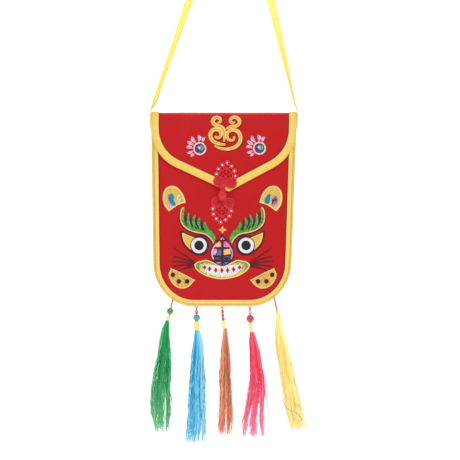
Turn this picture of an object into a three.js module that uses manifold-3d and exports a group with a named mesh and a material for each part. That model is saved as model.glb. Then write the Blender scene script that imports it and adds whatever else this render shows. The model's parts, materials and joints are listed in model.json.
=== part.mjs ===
// A folk embroidered hanging purse, in millimetres, with +Z up and its front facing -Y.
// A red cloth pouch is closed by a pointed flap. A yellow tape binds every edge, a red cord
// fastener joins flap and front, and a yellow ribbon carries the purse from one hanging point.
// The front has an embroidered folk tiger mask, and five thread tassels hang from the lower edge.
// The origin is the point where the ribbon hangs, on the underside of its upper bend.

import * as THREE from "three";
import { TessellateModifier } from "three/addons/modifiers/TessellateModifier.js";
import { mergeVertices } from "three/addons/utils/BufferGeometryUtils.js";
import Module from "manifold-3d";

const wasm = await Module();
wasm.setup();

// Driving dimensions of the pouch
const POUCH_WIDTH = 146.5; // over the tape, at the top fold
const POUCH_HEIGHT = 194.3; // from the top fold to the lower edge
const SIDE_DRAW_IN = 5; // how far each side has come in at the lower edge
const LOWER_LEAN = -2; // how far the lower edge has shifted sideways
const CORNER_RADIUS = 43;
const CLOTH = 1.6; // satin, wadding and backing in one wall
const SEAM_GAP = 0.4; // between the two panels at their shared edge
const FRONT_BELLY = 4.6; // how far the front bulges
const BACK_BELLY = 1.8;
const BELLY_RISE = 45; // distance from the edge at which the bulge is full
const MOUTH_SHARE = 0.8; // part of the bulge that is left at the mouth
const MOUTH_DEPTH = 60; // drop over which the bulge grows to its full depth
const FRONT_TOP_DROP = 8; // from the top fold down to the front panel's hidden upper edge
const CLEARANCE = 0.3; // between neighbouring pieces

// Driving dimensions of the flap and of the tape
const FLAP_TIP_DROP = 79.3;
const FLAP_TIP_SHIFT = 5.6; // the tip lies this far right of the middle
const FLAP_SHOULDER_DROP = 43.6; // where the slanted edge would meet the side
const FLAP_CORNER_RADIUS = 42;
const FLAP_LIFT_BLEND = 20; // width over which the flap comes down beside the body tape
const TAPE = 0.8; // thickness of the bias tape
const TAPE_ROUNDING = 0.8; // share of that thickness which its outer corners lose
const BODY_TAPE_WIDTH = 6.8;
const FLAP_TAPE_WIDTH = 7.8;
const FLAP_TAPE_TURN = 6.5; // how far the flap's tape runs on behind the fold

// Driving dimensions of the ribbon
const RIBBON_WIDTH = 8;
const RIBBON_THICKNESS = 0.9;
const RIBBON_TAB = 16; // length sewn to each upper corner
const RIBBON_FREE = 7.7; // height above the fold at which each strand runs straight
const RIBBON_RISE = 255.6; // height above the fold at which both strands would cross
const RIBBON_CROSSING = 14.1; // and how far right of the middle
const BEND_RADIUS = 8; // of the peg that the ribbon hangs on

// Driving dimensions of the cord fastener
const FASTENER_DROP = 80; // its middle, below the fold
const FASTENER_TILT = 6.4; // degrees, the upper end leaning right
const FASTENER_REACH = 29.9; // from the middle to the outermost stone
const FASTENER_CORD = 0.65; // radius of its cord
const COIL_RADIUS = 5.7;
const COIL_OFFSET = 10.3; // from the middle to the coils' centres
const COIL_SPACING = 11.9;
const COIL_THICKNESS = 2.3;
const PETAL_RADIUS = 1.95; // to the middle of the cord round each stone
const PETAL_ARCH_WIDTH = 9.3; // half the width of the arch of petals
const PETAL_ARCH_HEIGHT = 12.5;
const STONE_WIDTH = 2.9;
const STONE_HEIGHT = 1.4;
const BUTTON_WIDTH = 9;
const BUTTON_HEIGHT = 11.5;
const BUTTON_DEPTH = 6;
const BUTTON_DROP = 3; // from the fastener's middle
const BUTTON_SHIFT = -1.2;
const SHANK_RADIUS = 1.2;

// Driving dimensions of the embroidery
const EMBROIDERY = 0.9; // how far the stitching stands up
const MASK_SHIFT = -1.4; // of the tiger mask's middle line
const EAR_WIDTH = 22.5;
const EAR_HEIGHT = 25.5;
const BROW_WIDTH = 34.6;
const BROW_HEIGHT = 35.7;
const EYE_RADIUS = 9.3;
const NOSE_WIDTH = 25;
const NOSE_HEIGHT = 31.5;
const MOUTH_WIDTH = 55.4;
const MOUTH_HEIGHT = 20;
const CHEEK_RADIUS = 13.2;
const FOREHEAD_WIDTH = 7.6;
const CLOUD_RADIUS = 15;
const BLOSSOM_RADIUS = 10;
const RELIEF_STEP = 10; // longest edge on a piece that lies on the cloth

// Driving dimensions of the tassels
const CORD_LENGTH = 20; // from the pouch's edge to the head
const TASSEL_CORD_RADIUS = 0.7;
const BEAD_RADIUS = 3.5;
const NECK_LENGTH = 10; // of the thread wound round the head
const NECK_RADIUS = 2;
const SKIRT_LENGTH = 110;
const SKIRT_SPREAD = 10; // half of a skirt's width at its lower end
const STEM_RADIUS = 0.7;
const HEAD_RADIUS = 2;
const LOCK_RADIUS = 3.2; // thickest that a lock of thread gets
const LOCKS = 6; // round each skirt
const SKIRT_DEPTH = 0.65; // depth of a skirt as a share of its width
const RAGGED = 0.07; // share of its length that the shortest lock lacks

// Places down the face, all measured from the top fold, and out from the mask's middle line.
// The mouth follows the nose, whose lower end lies just above the dip of its upper edge.
const EARS = { drop: 86, out: 48.6 };
const BROWS = { drop: 112.5, out: 25.2 };
const EYES = { drop: 132.5, out: 23.7 };
const NOSE = { drop: 137.2 };
const NOSE_TO_MOUTH = 1.95;
const MOUTH_DIP = 0.1; // height of that dip above the mouth's middle, as a share of its height
const MOUTH = { drop: NOSE.drop + NOSE_HEIGHT / 2 + NOSE_TO_MOUTH + MOUTH_HEIGHT * MOUTH_DIP };
const CHEEKS = { drop: 161.9, out: 39.8, tilt: 24.7 };
const FOREHEAD = { drop: 116.8 };
const CLOUD = { drop: 22.5, right: 1.5 };
const BLOSSOMS = { drop: 31.5, right: 2.5, out: 30.5 };

// One row for each tassel, from left to right. across is a share of the pouch's half width, the
// lengths and radii are shares of the dimensions above, the leans are in degrees to the right,
// and flare is the power that shapes the skirt from its head down.
const TASSELS = [
  { name: "green", across: -0.725, cord: 0.74, bead: 0.83, neck: 0.6, neckRadius: 0.85,
    cordLean: -13, skirtLean: -3.8, skirt: 0.99, spread: 1.06, flare: 0.5 },
  { name: "blue", across: -0.375, cord: 0.735, bead: 0.885, neck: 0.86, neckRadius: 1.35,
    cordLean: 1, skirtLean: -0.5, skirt: 1.02, spread: 0.96, flare: 0.38 },
  { name: "copper", across: 0, cord: 0.71, bead: 0, neck: 0.78, neckRadius: 0.9,
    cordLean: 5, skirtLean: 0, skirt: 0.955, spread: 0.86, flare: 0.45 },
  { name: "rose", across: 0.41, cord: 0.805, bead: 1, neck: 0.9, neckRadius: 1,
    cordLean: 1.5, skirtLean: 2, skirt: 0.965, spread: 1.2, flare: 0.8 },
  { name: "yellow", across: 0.765, cord: 0.635, bead: 0, neck: 1.05, neckRadius: 1.15,
    cordLean: 12, skirtLean: 10.4, skirt: 1, spread: 0.93, flare: 0.32 },
];

const TASSEL_COLOURS = {
  green: 0x1f9c57, blue: 0x2fb4dc, copper: 0xc2603c, rose: 0xe0284a, yellow: 0xf6cf58,
};
const RED_CLOTH = { color: 0xc4161d, roughness: 0.55 };
const RED_CORD = { color: 0xd3222b, roughness: 0.6 };
const YELLOW_TAPE = { color: 0xf2cf66, roughness: 0.5 };
const YELLOW_RIBBON = { color: 0xf5ea7c, roughness: 0.4 };
const GOLD_THREAD = { color: 0xe6b44f, roughness: 0.4 };
const GREEN_THREAD = { color: 0x3f8f3c, roughness: 0.5 };
const WHITE_THREAD = { color: 0xf1ecec, roughness: 0.5 };
const VIOLET_THREAD = { color: 0x5b2c68, roughness: 0.5 };
const PINK_THREAD = { color: 0xf3b8c4, roughness: 0.5 };
const CLEAR_STONE = { color: 0xffe9e6, roughness: 0.1, metalness: 0.2 };

const halfWidth = POUCH_WIDTH / 2;
const edgeAllowance = CLEARANCE + TAPE; // from the tape's outer edge in to the cloth
const radians = THREE.MathUtils.degToRad;
const { clamp, lerp, smoothstep } = THREE.MathUtils;

// Evenly spaced numbers from one value to another, both included.
const steps = (from, to, count) =>
  Array.from({ length: count + 1 }, (_, k) => lerp(from, to, k / count));

// Solids

// Merges shared corners, drops slivers, and turns the faces out.
function closedBody(geometry) {
  const plain = geometry.clone();
  plain.deleteAttribute("normal");
  plain.deleteAttribute("uv");
  const body = mergeVertices(plain, 1e-3);
  const index = [];
  const corners = [0, 1, 2].map(() => new THREE.Vector3());
  let volume = 0;
  for (let k = 0; k < body.index.count; k += 3) {
    const [a, b, c] = [0, 1, 2].map((step) => body.index.getX(k + step));
    if (a === b || b === c || c === a) continue;
    index.push(a, b, c);
    [a, b, c].forEach((at, n) => corners[n].fromBufferAttribute(body.attributes.position, at));
    volume += corners[0].dot(corners[1].clone().cross(corners[2]));
  }
  return body.setIndex(volume < 0 ? index.reverse() : index);
}

// Joins rings of points into one closed surface. section is a plane outline like the rings,
// used to close both ends.
function loft(rings, section) {
  const around = rings[0].length;
  const index = [];
  for (let ring = 0; ring + 1 < rings.length; ring++) {
    for (let k = 0; k < around; k++) {
      const [a, b] = [ring * around + k, ring * around + ((k + 1) % around)];
      index.push(a, b, b + around, a, b + around, a + around);
    }
  }
  const last = (rings.length - 1) * around;
  const turned = THREE.ShapeUtils.isClockWise(section);
  for (const face of THREE.ShapeUtils.triangulateShape(section, [])) {
    const [a, b, c] = turned ? [...face].reverse() : face;
    index.push(c, b, a, last + a, last + b, last + c);
  }
  return closedBody(new THREE.BufferGeometry().setFromPoints(rings.flat()).setIndex(index));
}

function solidOf(geometry) {
  const body = closedBody(geometry);
  return new wasm.Manifold(
    new wasm.Mesh({
      numProp: 3,
      vertProperties: body.attributes.position.array,
      triVerts: new Uint32Array(body.index.array),
    }),
  );
}

function fuse(geometries) {
  const mesh = geometries.map(solidOf).reduce((all, one) => all.add(one)).getMesh();
  return new THREE.BufferGeometry()
    .setAttribute("position", new THREE.BufferAttribute(mesh.vertProperties, 3))
    .setIndex(new THREE.BufferAttribute(mesh.triVerts, 1));
}

// A solid of revolution about +Z. Each row of the profile is [radius, height].
function turned(profile, sides) {
  const points = profile.map(([radius, height]) => new THREE.Vector2(radius, height));
  return new THREE.LatheGeometry(points, sides).rotateX(Math.PI / 2);
}

// A straight round rod from one height to another about +Z.
function rod(radius, low, high, sides = 8) {
  return turned([[0, low], [radius, low], [radius, high], [0, high]], sides);
}

// Form of the pouch

// Draws the sides in and shifts them towards the lower edge.
function settle(x, y, z) {
  const down = clamp(-z / POUCH_HEIGHT, 0, 1);
  const wide = 1 - (SIDE_DRAW_IN / halfWidth) * down;
  return new THREE.Vector3(x * wide + LOWER_LEAN * down, y, z);
}

// The unsettled x of a place on the finished pouch.
function unsettled(x, z) {
  const down = clamp(-z / POUCH_HEIGHT, 0, 1);
  return (x - LOWER_LEAN * down) / (1 - (SIDE_DRAW_IN / halfWidth) * down);
}

// How far a point lies inside the pouch's round-cornered outline.
function edgeDistance(x, z) {
  const cornerX = Math.abs(x) - (halfWidth - CORNER_RADIUS);
  const cornerZ = -z - (POUCH_HEIGHT - CORNER_RADIUS);
  if (cornerX > 0 && cornerZ > 0) return CORNER_RADIUS - Math.hypot(cornerX, cornerZ);
  return Math.min(halfWidth - Math.abs(x), POUCH_HEIGHT + z);
}

// Share of the full bulge: none along the seam, less at the mouth.
function bulge(x, z) {
  const inside = clamp((edgeDistance(x, z) - edgeAllowance) / BELLY_RISE, 0, 1);
  const open = lerp(MOUTH_SHARE, 1, smoothstep(-z, 0, MOUTH_DEPTH));
  return Math.sin((inside * Math.PI) / 2) * open;
}

// The y of each face of the cloth at an unsettled x and a z.
const frontInner = (x, z) => -(SEAM_GAP / 2 + FRONT_BELLY * bulge(x, z));
const frontOuter = (x, z) => frontInner(x, z) - CLOTH;
const backInner = (x, z) => SEAM_GAP / 2 + BACK_BELLY * bulge(x, z);
const backOuter = (x, z) => backInner(x, z) + CLOTH;

// The flap lies on the front panel with its tape between them, and rides up over the body tape.
function flapInner(x, z) {
  const overCloth = edgeAllowance + CLEARANCE;
  const overTape = overCloth + edgeAllowance;
  const fromTape = halfWidth - Math.abs(x) - BODY_TAPE_WIDTH;
  const lift = 1 - smoothstep(fromTape, 0, FLAP_LIFT_BLEND);
  return frontOuter(x, z) - lerp(overCloth, overTape, lift);
}

const flapMiddle = (x, z) => flapInner(x, z) - CLOTH / 2;
const backMiddle = (x, z) => backInner(x, z) + CLOTH / 2;
const foldRadius = (x) => (backMiddle(x, 0) - flapMiddle(x, 0)) / 2;
const foldMiddle = (x) => (backMiddle(x, 0) + flapMiddle(x, 0)) / 2;

// A point of the one cloth that is the back, the top fold and the flap. drop runs down from
// the fold, positive on the flap and negative on the back, and out is measured outwards from
// the middle of the cloth.
function foldedPoint(x, drop, out) {
  const radius = foldRadius(x);
  if (Math.abs(drop) < radius) {
    const turn = (drop / radius) * (Math.PI / 2);
    const y = foldMiddle(x) - (radius + out) * Math.sin(turn);
    return settle(x, y, (radius + out) * Math.cos(turn) - radius - CLOTH / 2);
  }
  const z = -Math.abs(drop) - CLOTH / 2;
  return settle(x, drop > 0 ? flapMiddle(x, z) - out : backMiddle(x, z) + out, z);
}

// Drop of the body's edge at x, drawn in by inset all round.
function bodyEdge(x, inset) {
  const past = Math.abs(x) - (halfWidth - CORNER_RADIUS);
  if (past <= 0) return POUCH_HEIGHT - inset;
  const radius = CORNER_RADIUS - inset;
  return POUCH_HEIGHT - CORNER_RADIUS + Math.sqrt(Math.max(radius ** 2 - past ** 2, 0));
}

// One side of the flap's edge, from its shoulder to the tip: a round shoulder that runs into a
// straight slant.
function flapSide(side) {
  const reach = halfWidth - side * FLAP_TIP_SHIFT;
  const slope = (FLAP_TIP_DROP - FLAP_SHOULDER_DROP) / reach;
  const steep = Math.hypot(1, slope);
  const centre = FLAP_SHOULDER_DROP - FLAP_CORNER_RADIUS * (steep - slope);
  return { slope, steep, centre };
}

// Drop of the flap's edge at x, drawn in by inset.
function flapEdge(x, inset) {
  const drops = [-1, 1].map((side) => {
    const { slope, steep, centre } = flapSide(side);
    const fromSide = halfWidth - side * x;
    const radius = FLAP_CORNER_RADIUS - inset;
    const shoulder = FLAP_CORNER_RADIUS - (radius * slope) / steep;
    if (fromSide >= shoulder) return FLAP_SHOULDER_DROP + slope * fromSide - inset * steep;
    const along = FLAP_CORNER_RADIUS - fromSide;
    return centre + Math.sqrt(Math.max(radius ** 2 - along ** 2, 0));
  });
  return Math.min(...drops);
}

// Columns crowd towards the sides, where the outlines are round, and one meets the tip.
const COLUMNS = 16;
const columns = Array.from({ length: COLUMNS + 1 }, (_, k) => {
  const across = Math.sin(((k / COLUMNS) * 2 - 1) * (Math.PI / 2));
  return across * (halfWidth - edgeAllowance) + FLAP_TIP_SHIFT * (1 - across ** 2);
});

// A cloth wall from its outer and inner faces, each a grid of points by column and row.
function wall(outer, inner) {
  const rows = outer[0].length;
  const [endColumn, endRow] = [outer.length - 1, rows - 1];
  const skin = outer.length * rows;
  const at = (face, column, row) => face * skin + column * rows + row;
  const index = [];
  const quad = (a, b, c, d) => index.push(a, b, c, a, c, d);
  for (let c = 0; c < endColumn; c++) {
    for (let r = 0; r < endRow; r++) {
      quad(at(0, c, r), at(0, c + 1, r), at(0, c + 1, r + 1), at(0, c, r + 1));
      quad(at(1, c, r), at(1, c, r + 1), at(1, c + 1, r + 1), at(1, c + 1, r));
    }
    quad(at(0, c, 0), at(1, c, 0), at(1, c + 1, 0), at(0, c + 1, 0));
    quad(at(0, c, endRow), at(0, c + 1, endRow), at(1, c + 1, endRow), at(1, c, endRow));
  }
  for (let r = 0; r < endRow; r++) {
    quad(at(0, 0, r), at(0, 0, r + 1), at(1, 0, r + 1), at(1, 0, r));
    quad(at(0, endColumn, r), at(1, endColumn, r), at(1, endColumn, r + 1),
      at(0, endColumn, r + 1));
  }
  const points = [...outer.flat(), ...inner.flat()];
  return closedBody(new THREE.BufferGeometry().setFromPoints(points).setIndex(index));
}

// The drops at which the folded cloth has its rows, from the back's lower edge to the flap's.
const BACK_ROWS = 6;
const FOLD_ROWS = 5;
const FLAP_ROWS = 5;
function foldedRows(x) {
  const radius = foldRadius(x);
  const backEnd = bodyEdge(x, edgeAllowance) - CLOTH / 2;
  const flapEnd = flapEdge(x, edgeAllowance) - CLOTH / 2;
  return [
    ...steps(-backEnd, -radius, BACK_ROWS).slice(0, -1),
    ...steps(-radius, radius, FOLD_ROWS).slice(0, -1),
    ...steps(radius, flapEnd, FLAP_ROWS),
  ];
}

function foldedCloth() {
  const face = (out) => columns.map((x) => foldedRows(x).map((d) => foldedPoint(x, d, out)));
  return wall(face(CLOTH / 2), face(-CLOTH / 2));
}

const FRONT_ROWS = 10;
function frontPanel() {
  const face = (depth) =>
    columns.map((x) =>
      steps(bodyEdge(x, edgeAllowance), FRONT_TOP_DROP, FRONT_ROWS).map((drop) =>
        settle(x, depth(x, -drop), -drop)),
    );
  return wall(face(frontOuter), face(frontInner));
}

// Tape

// For each point of an outline that runs anticlockwise, the way that one step inwards takes it.
function inwardSteps(outline) {
  return outline.map((point, k) => {
    const stretches = [[outline[k - 1], point], [point, outline[k + 1]]];
    const normals = stretches
      .filter(([from, to]) => from && to)
      .map(([from, to]) => new THREE.Vector2(from.y - to.y, to.x - from.x).normalize());
    const [first, second] = [normals[0], normals[normals.length - 1]];
    return first.clone().add(second).divideScalar(1 + first.dot(second));
  });
}

// The tape's section, a channel round the cloth's edge. Each row says how far in from the
// outer edge a corner lies, on which face of the cloth, and how far off that face.
function channel(width) {
  const chamfer = TAPE * TAPE_ROUNDING;
  const leg = (face) => [
    { inward: TAPE, face, off: CLEARANCE },
    { inward: width, face, off: CLEARANCE },
    { inward: width - chamfer, face, off: edgeAllowance },
    { inward: 0, face, off: edgeAllowance - chamfer },
  ];
  return [...leg(1), ...leg(-1).reverse()];
}

// Sweeps the channel along an outline of (x, -drop) points. place puts a corner in space.
function bind(outline, width, place) {
  const corners = channel(width);
  const inwards = inwardSteps(outline);
  const rings = outline.map((point, k) =>
    corners.map(({ inward, face, off }) => {
      const at = point.clone().addScaledVector(inwards[k], inward);
      return place(at.x, at.y, face, off);
    }),
  );
  const section = corners.map(
    ({ inward, face, off }) => new THREE.Vector2(inward, face * (CLOTH / 2 + off)),
  );
  return loft(rings, section);
}

// How many steps the tape takes along each stretch of its edge.
const TAPE_STEPS = { side: 5, corner: 12, fold: 6, shoulder: 6, slant: 8 };

function bodyTape() {
  const arc = (side, from, to) =>
    steps(from, to, TAPE_STEPS.corner).map((turn) => [
      side * (halfWidth - CORNER_RADIUS + CORNER_RADIUS * Math.cos(radians(turn))),
      -(POUCH_HEIGHT - CORNER_RADIUS + CORNER_RADIUS * Math.sin(radians(turn))),
    ]);
  const sideEnd = POUCH_HEIGHT - CORNER_RADIUS;
  const straight = steps(FRONT_TOP_DROP, sideEnd, TAPE_STEPS.side).slice(0, -1);
  const outline = [
    ...straight.map((drop) => [-halfWidth, -drop]),
    ...arc(-1, 0, 90),
    ...arc(1, 90, 0),
    ...straight.reverse().map((drop) => [halfWidth, -drop]),
  ];
  const place = (x, z, face, off) =>
    settle(x, face > 0 ? frontOuter(x, z) - off : backOuter(x, z) + off, z);
  return bind(outline.map(([x, z]) => new THREE.Vector2(x, z)), BODY_TAPE_WIDTH, place);
}

function flapTape() {
  const fold = foldRadius(halfWidth);
  const half = (side) => {
    const { slope, steep, centre } = flapSide(side);
    const edge = -CLOTH / 2;
    const turn = Math.atan2(1 / steep, slope / steep);
    const down = [-FLAP_TAPE_TURN, ...steps(-fold, fold, TAPE_STEPS.fold)]
      .map((drop) => [halfWidth, drop]);
    const arc = steps(0, turn, TAPE_STEPS.shoulder).map((at) => [
      halfWidth - FLAP_CORNER_RADIUS * (1 - Math.cos(at)),
      centre + edge + FLAP_CORNER_RADIUS * Math.sin(at),
    ]);
    const [lastX, lastDrop] = arc[arc.length - 1];
    const slant = steps(0, 1, TAPE_STEPS.slant).slice(1).map((share) => [
      lerp(lastX, side * FLAP_TIP_SHIFT, share),
      lerp(lastDrop, FLAP_TIP_DROP + edge, share),
    ]);
    return [...down, ...arc, ...slant].map(([x, drop]) => [side * x, -drop]);
  };
  const left = half(-1);
  const right = half(1).reverse().slice(1);
  const outline = [...left, ...right].map(([x, z]) => new THREE.Vector2(x, z));
  return bind(outline, FLAP_TAPE_WIDTH, (x, z, face, off) =>
    foldedPoint(x, -z, face * (CLOTH / 2 + off)));
}

// Ribbon

// How each strand twists: up is a share of RIBBON_RISE, and turn is the angle in degrees
// between the ribbon's face and the front.
const LEFT_TWIST = [
  { up: 0, turn: 90 }, { up: 0.047, turn: 55 }, { up: 0.243, turn: 49 },
  { up: 0.438, turn: 30 }, { up: 0.87, turn: 90 },
];
const RIGHT_TWIST = [
  { up: 0, turn: 90 }, { up: 0.035, turn: 78 }, { up: 0.125, turn: 65 },
  { up: 0.243, turn: 45 }, { up: 0.438, turn: 20 }, { up: 0.87, turn: 90 },
];

function twistAt(rows, up) {
  const next = rows.findIndex((row) => row.up >= up);
  if (next === -1) return rows[rows.length - 1].turn;
  if (next === 0) return rows[0].turn;
  const [low, high] = [rows[next - 1], rows[next]];
  return lerp(low.turn, high.turn, (up - low.up) / (high.up - low.up));
}

// The peg's place: its centre, and the angle that each strand makes with the vertical.
function pegPlace() {
  const left = Math.atan2(halfWidth + RIBBON_CROSSING, RIBBON_RISE);
  const right = Math.atan2(halfWidth - RIBBON_CROSSING, RIBBON_RISE);
  const radius = BEND_RADIUS + RIBBON_THICKNESS / 2;
  const below = radius / Math.sin((left + right) / 2);
  const x = RIBBON_CROSSING - below * Math.sin((left - right) / 2);
  const z = RIBBON_RISE - below * Math.cos((left - right) / 2);
  return { x, z, radius, left, right };
}

const peg = pegPlace();
const ribbonDepth = foldMiddle(halfWidth);

// How many steps the ribbon takes along each tab, each strand and the bend.
const RIBBON_STEPS = { tab: 2, strand: 12, bend: 8 };

function ribbon() {
  const tabX = halfWidth + CLEARANCE + RIBBON_THICKNESS / 2;
  const strand = (side, twist, angle) => {
    const top = (peg.z + peg.radius * Math.sin(angle)) / RIBBON_RISE;
    const tab = steps(-RIBBON_TAB, TAPE * 2, RIBBON_STEPS.tab).map((z) => {
      const foot = settle(side * tabX, 0, z);
      return { x: foot.x, z, turn: 90 };
    });
    const free = steps(RIBBON_FREE / RIBBON_RISE, top, RIBBON_STEPS.strand).map((up) => ({
      x: lerp(side * halfWidth, RIBBON_CROSSING, up),
      z: up * RIBBON_RISE,
      turn: twistAt(twist, up),
    }));
    return [...tab, ...free];
  };
  const round = steps(Math.PI - peg.left, peg.right, RIBBON_STEPS.bend).slice(1, -1);
  const bend = round.map((at) => ({
    x: peg.x + peg.radius * Math.cos(at),
    z: peg.z + peg.radius * Math.sin(at),
    turn: 90,
  }));
  const path = [
    ...strand(-1, LEFT_TWIST, peg.left),
    ...bend,
    ...strand(1, RIGHT_TWIST, peg.right).reverse(),
  ];
  const [w, t] = [RIBBON_WIDTH / 2, RIBBON_THICKNESS / 2];
  const corners = [[w, t], [-w, t], [-w, -t], [w, -t]];
  const rings = path.map(({ x, z, turn }, k) => {
    const before = path[Math.max(k - 1, 0)];
    const after = path[Math.min(k + 1, path.length - 1)];
    const along = new THREE.Vector3(after.x - before.x, 0, after.z - before.z).normalize();
    const wide = new THREE.Vector3(along.z, 0, -along.x).multiplyScalar(Math.cos(radians(turn)));
    wide.y += Math.sin(radians(turn));
    const thick = along.clone().cross(wide);
    return corners.map(([a, b]) =>
      new THREE.Vector3(x, ribbonDepth, z).addScaledVector(wide, a).addScaledVector(thick, b));
  });
  return loft(rings, corners.map(([a, b]) => new THREE.Vector2(a, b)));
}

// Laying pieces on the cloth

// Lays a flat piece, drawn in x and y with its height along z, on a face of the purse.
function lay(geometry, face) {
  const laid = geometry.clone();
  const position = laid.attributes.position;
  for (let k = 0; k < position.count; k++) {
    const [x, z, height] = [position.getX(k), position.getY(k), position.getZ(k)];
    position.setXYZ(k, x, face(unsettled(x, z), z) - CLEARANCE - height, z);
  }
  return closedBody(laid);
}

// The flap's outer face, raised where its tape lies.
function flapFace(x, z) {
  const bare = smoothstep(flapEdge(x, FLAP_TAPE_WIDTH) + z, 0, FLAP_TAPE_WIDTH / 2);
  return flapInner(x, z) - CLOTH - lerp(edgeAllowance, 0, bare);
}

// Cord fastener

// The places of the stones in one half, from the outermost one down both sides of an arch.
// across and down are shares of the arch's half width and height.
const PETALS = [
  { across: 0, down: 0 },
  { across: -0.49, down: 0.24 }, { across: 0.49, down: 0.24 },
  { across: -0.86, down: 0.58 }, { across: 0.86, down: 0.58 },
  { across: -1, down: 1 }, { across: 1, down: 1 },
];

// A place on the fastener, from its middle line and its middle.
function fastenerPoint(across, along) {
  const tilt = radians(FASTENER_TILT);
  const x = across * Math.cos(tilt) + along * Math.sin(tilt);
  const z = -across * Math.sin(tilt) + along * Math.cos(tilt) - FASTENER_DROP;
  return new THREE.Vector2(x, z);
}

// half is 1 for the upper half of the fastener and -1 for the lower one.
const petalPoint = ({ across, down }, half) =>
  fastenerPoint(across * PETAL_ARCH_WIDTH, half * (FASTENER_REACH - down * PETAL_ARCH_HEIGHT));
const coilPoint = (side, half) => fastenerPoint((side * COIL_SPACING) / 2, half * COIL_OFFSET);
const buttonPoint = fastenerPoint(BUTTON_SHIFT, -BUTTON_DROP);
const shankPoint = fastenerPoint(BUTTON_SHIFT, -BUTTON_DROP - SHANK_RADIUS);

// A round cord that lies flat from one place to another, short of both by the radius of a petal.
function flatCord(from, to) {
  const way = to.clone().sub(from);
  return rod(FASTENER_CORD, PETAL_RADIUS, way.length() - PETAL_RADIUS, 5)
    .rotateY(Math.PI / 2)
    .rotateZ(way.angle())
    .translate(from.x, from.y, FASTENER_CORD);
}

function ring(place, radius) {
  return new THREE.TorusGeometry(radius, FASTENER_CORD, 5, 10)
    .translate(place.x, place.y, FASTENER_CORD);
}

// A ring of cord with a floor inside it, which carries a stone.
function petalSeat(place) {
  const [r, c] = [PETAL_RADIUS, FASTENER_CORD];
  const profile = [[0, 0], [r + c / 2, 0], [r + c, c], [r, c * 2], [r - c, c], [0, c]];
  return turned(profile, 7).translate(place.x, place.y, 0);
}

function coil(place) {
  const [r, t] = [COIL_RADIUS, COIL_THICKNESS];
  const profile = [[0, 0], [r - t / 4, 0], [r, t / 2], [r - t / 3, t], [0, t * 1.1]];
  return turned(profile, 12).translate(place.x, place.y, 0);
}

function fastenerHalf(half) {
  const petals = PETALS.map((petal) => petalPoint(petal, half));
  const coils = [-1, 1].map((side) => coilPoint(side, half));
  const middle = fastenerPoint(0, half * COIL_OFFSET);
  const lattice = [
    [petals[1], petals[6]], [petals[2], petals[5]], [petals[3], coils[1]],
    [petals[4], coils[0]], [petals[0], middle],
  ];
  const pieces = [
    ...coils.map(coil),
    ...petals.map(petalSeat),
    ...lattice.map(([from, to]) => flatCord(from, to)),
  ];
  if (half > 0) {
    const aboveButton = BUTTON_HEIGHT / 2 - BUTTON_DROP + CLEARANCE * 2 - PETAL_RADIUS;
    const meeting = fastenerPoint(BUTTON_SHIFT / 2, aboveButton);
    pieces.push(...coils.map((at) => flatCord(at, meeting)));
    return lay(fuse(pieces), flapFace);
  }
  pieces.push(ring(shankPoint, SHANK_RADIUS + FASTENER_CORD * 2));
  return lay(fuse(pieces), frontOuter);
}

// The knot that is the button, in front of the flap's tip, with a shank down to the front panel.
function buttonKnot() {
  const tipFace = flapFace(FLAP_TIP_SHIFT, -FLAP_TIP_DROP);
  const knotY = tipFace - CLEARANCE - BUTTON_DEPTH / 2;
  const seatY = frontOuter(shankPoint.x, shankPoint.y) - CLEARANCE;
  const knot = new THREE.SphereGeometry(1, 10, 7)
    .rotateX(Math.PI / 2)
    .scale(BUTTON_WIDTH / 2, BUTTON_DEPTH / 2, BUTTON_HEIGHT / 2)
    .translate(buttonPoint.x, knotY, buttonPoint.y);
  const shank = rod(SHANK_RADIUS, knotY, seatY, 8)
    .rotateX(-Math.PI / 2)
    .translate(shankPoint.x, 0, shankPoint.y);
  return fuse([knot, shank]);
}

// A cut stone that stands in its ring of cord, with a table and eight facets.
function stone(place, face) {
  const low = FASTENER_CORD + CLEARANCE;
  const rest = Math.sqrt(FASTENER_CORD ** 2 - (PETAL_RADIUS - STONE_WIDTH / 2) ** 2);
  const girdle = FASTENER_CORD + rest + CLEARANCE;
  const profile = [
    [0, low], [STONE_WIDTH * 0.2, low], [STONE_WIDTH / 2, girdle],
    [STONE_WIDTH * 0.3, low + STONE_HEIGHT], [0, low + STONE_HEIGHT],
  ];
  return lay(turned(profile, 8).translate(place.x, place.y, 0), face);
}

// Embroidery

// Points of an outline from a table, whose rows are shares of a width and a height.
function outlined(rows, width, height) {
  return rows.map(([right, up]) => new THREE.Vector2(right * width, up * height));
}

// The right half of a symmetric outline, from top to bottom, with its mirror image.
function mirrored(rows) {
  const left = rows.filter(([right]) => right > 0).map(([right, up]) => [-right, up]);
  return [...rows, ...left.reverse()];
}

// One raised patch of stitching, laid on a face.
function patch(points, { x, z }, face, flip = 1) {
  const placed = points.map((point) => new THREE.Vector2(flip * point.x + x, point.y + z));
  const flat = new THREE.ExtrudeGeometry(new THREE.Shape(placed), {
    depth: EMBROIDERY,
    bevelEnabled: false,
  });
  return lay(new TessellateModifier(RELIEF_STEP, 8).modify(flat), face);
}

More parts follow.
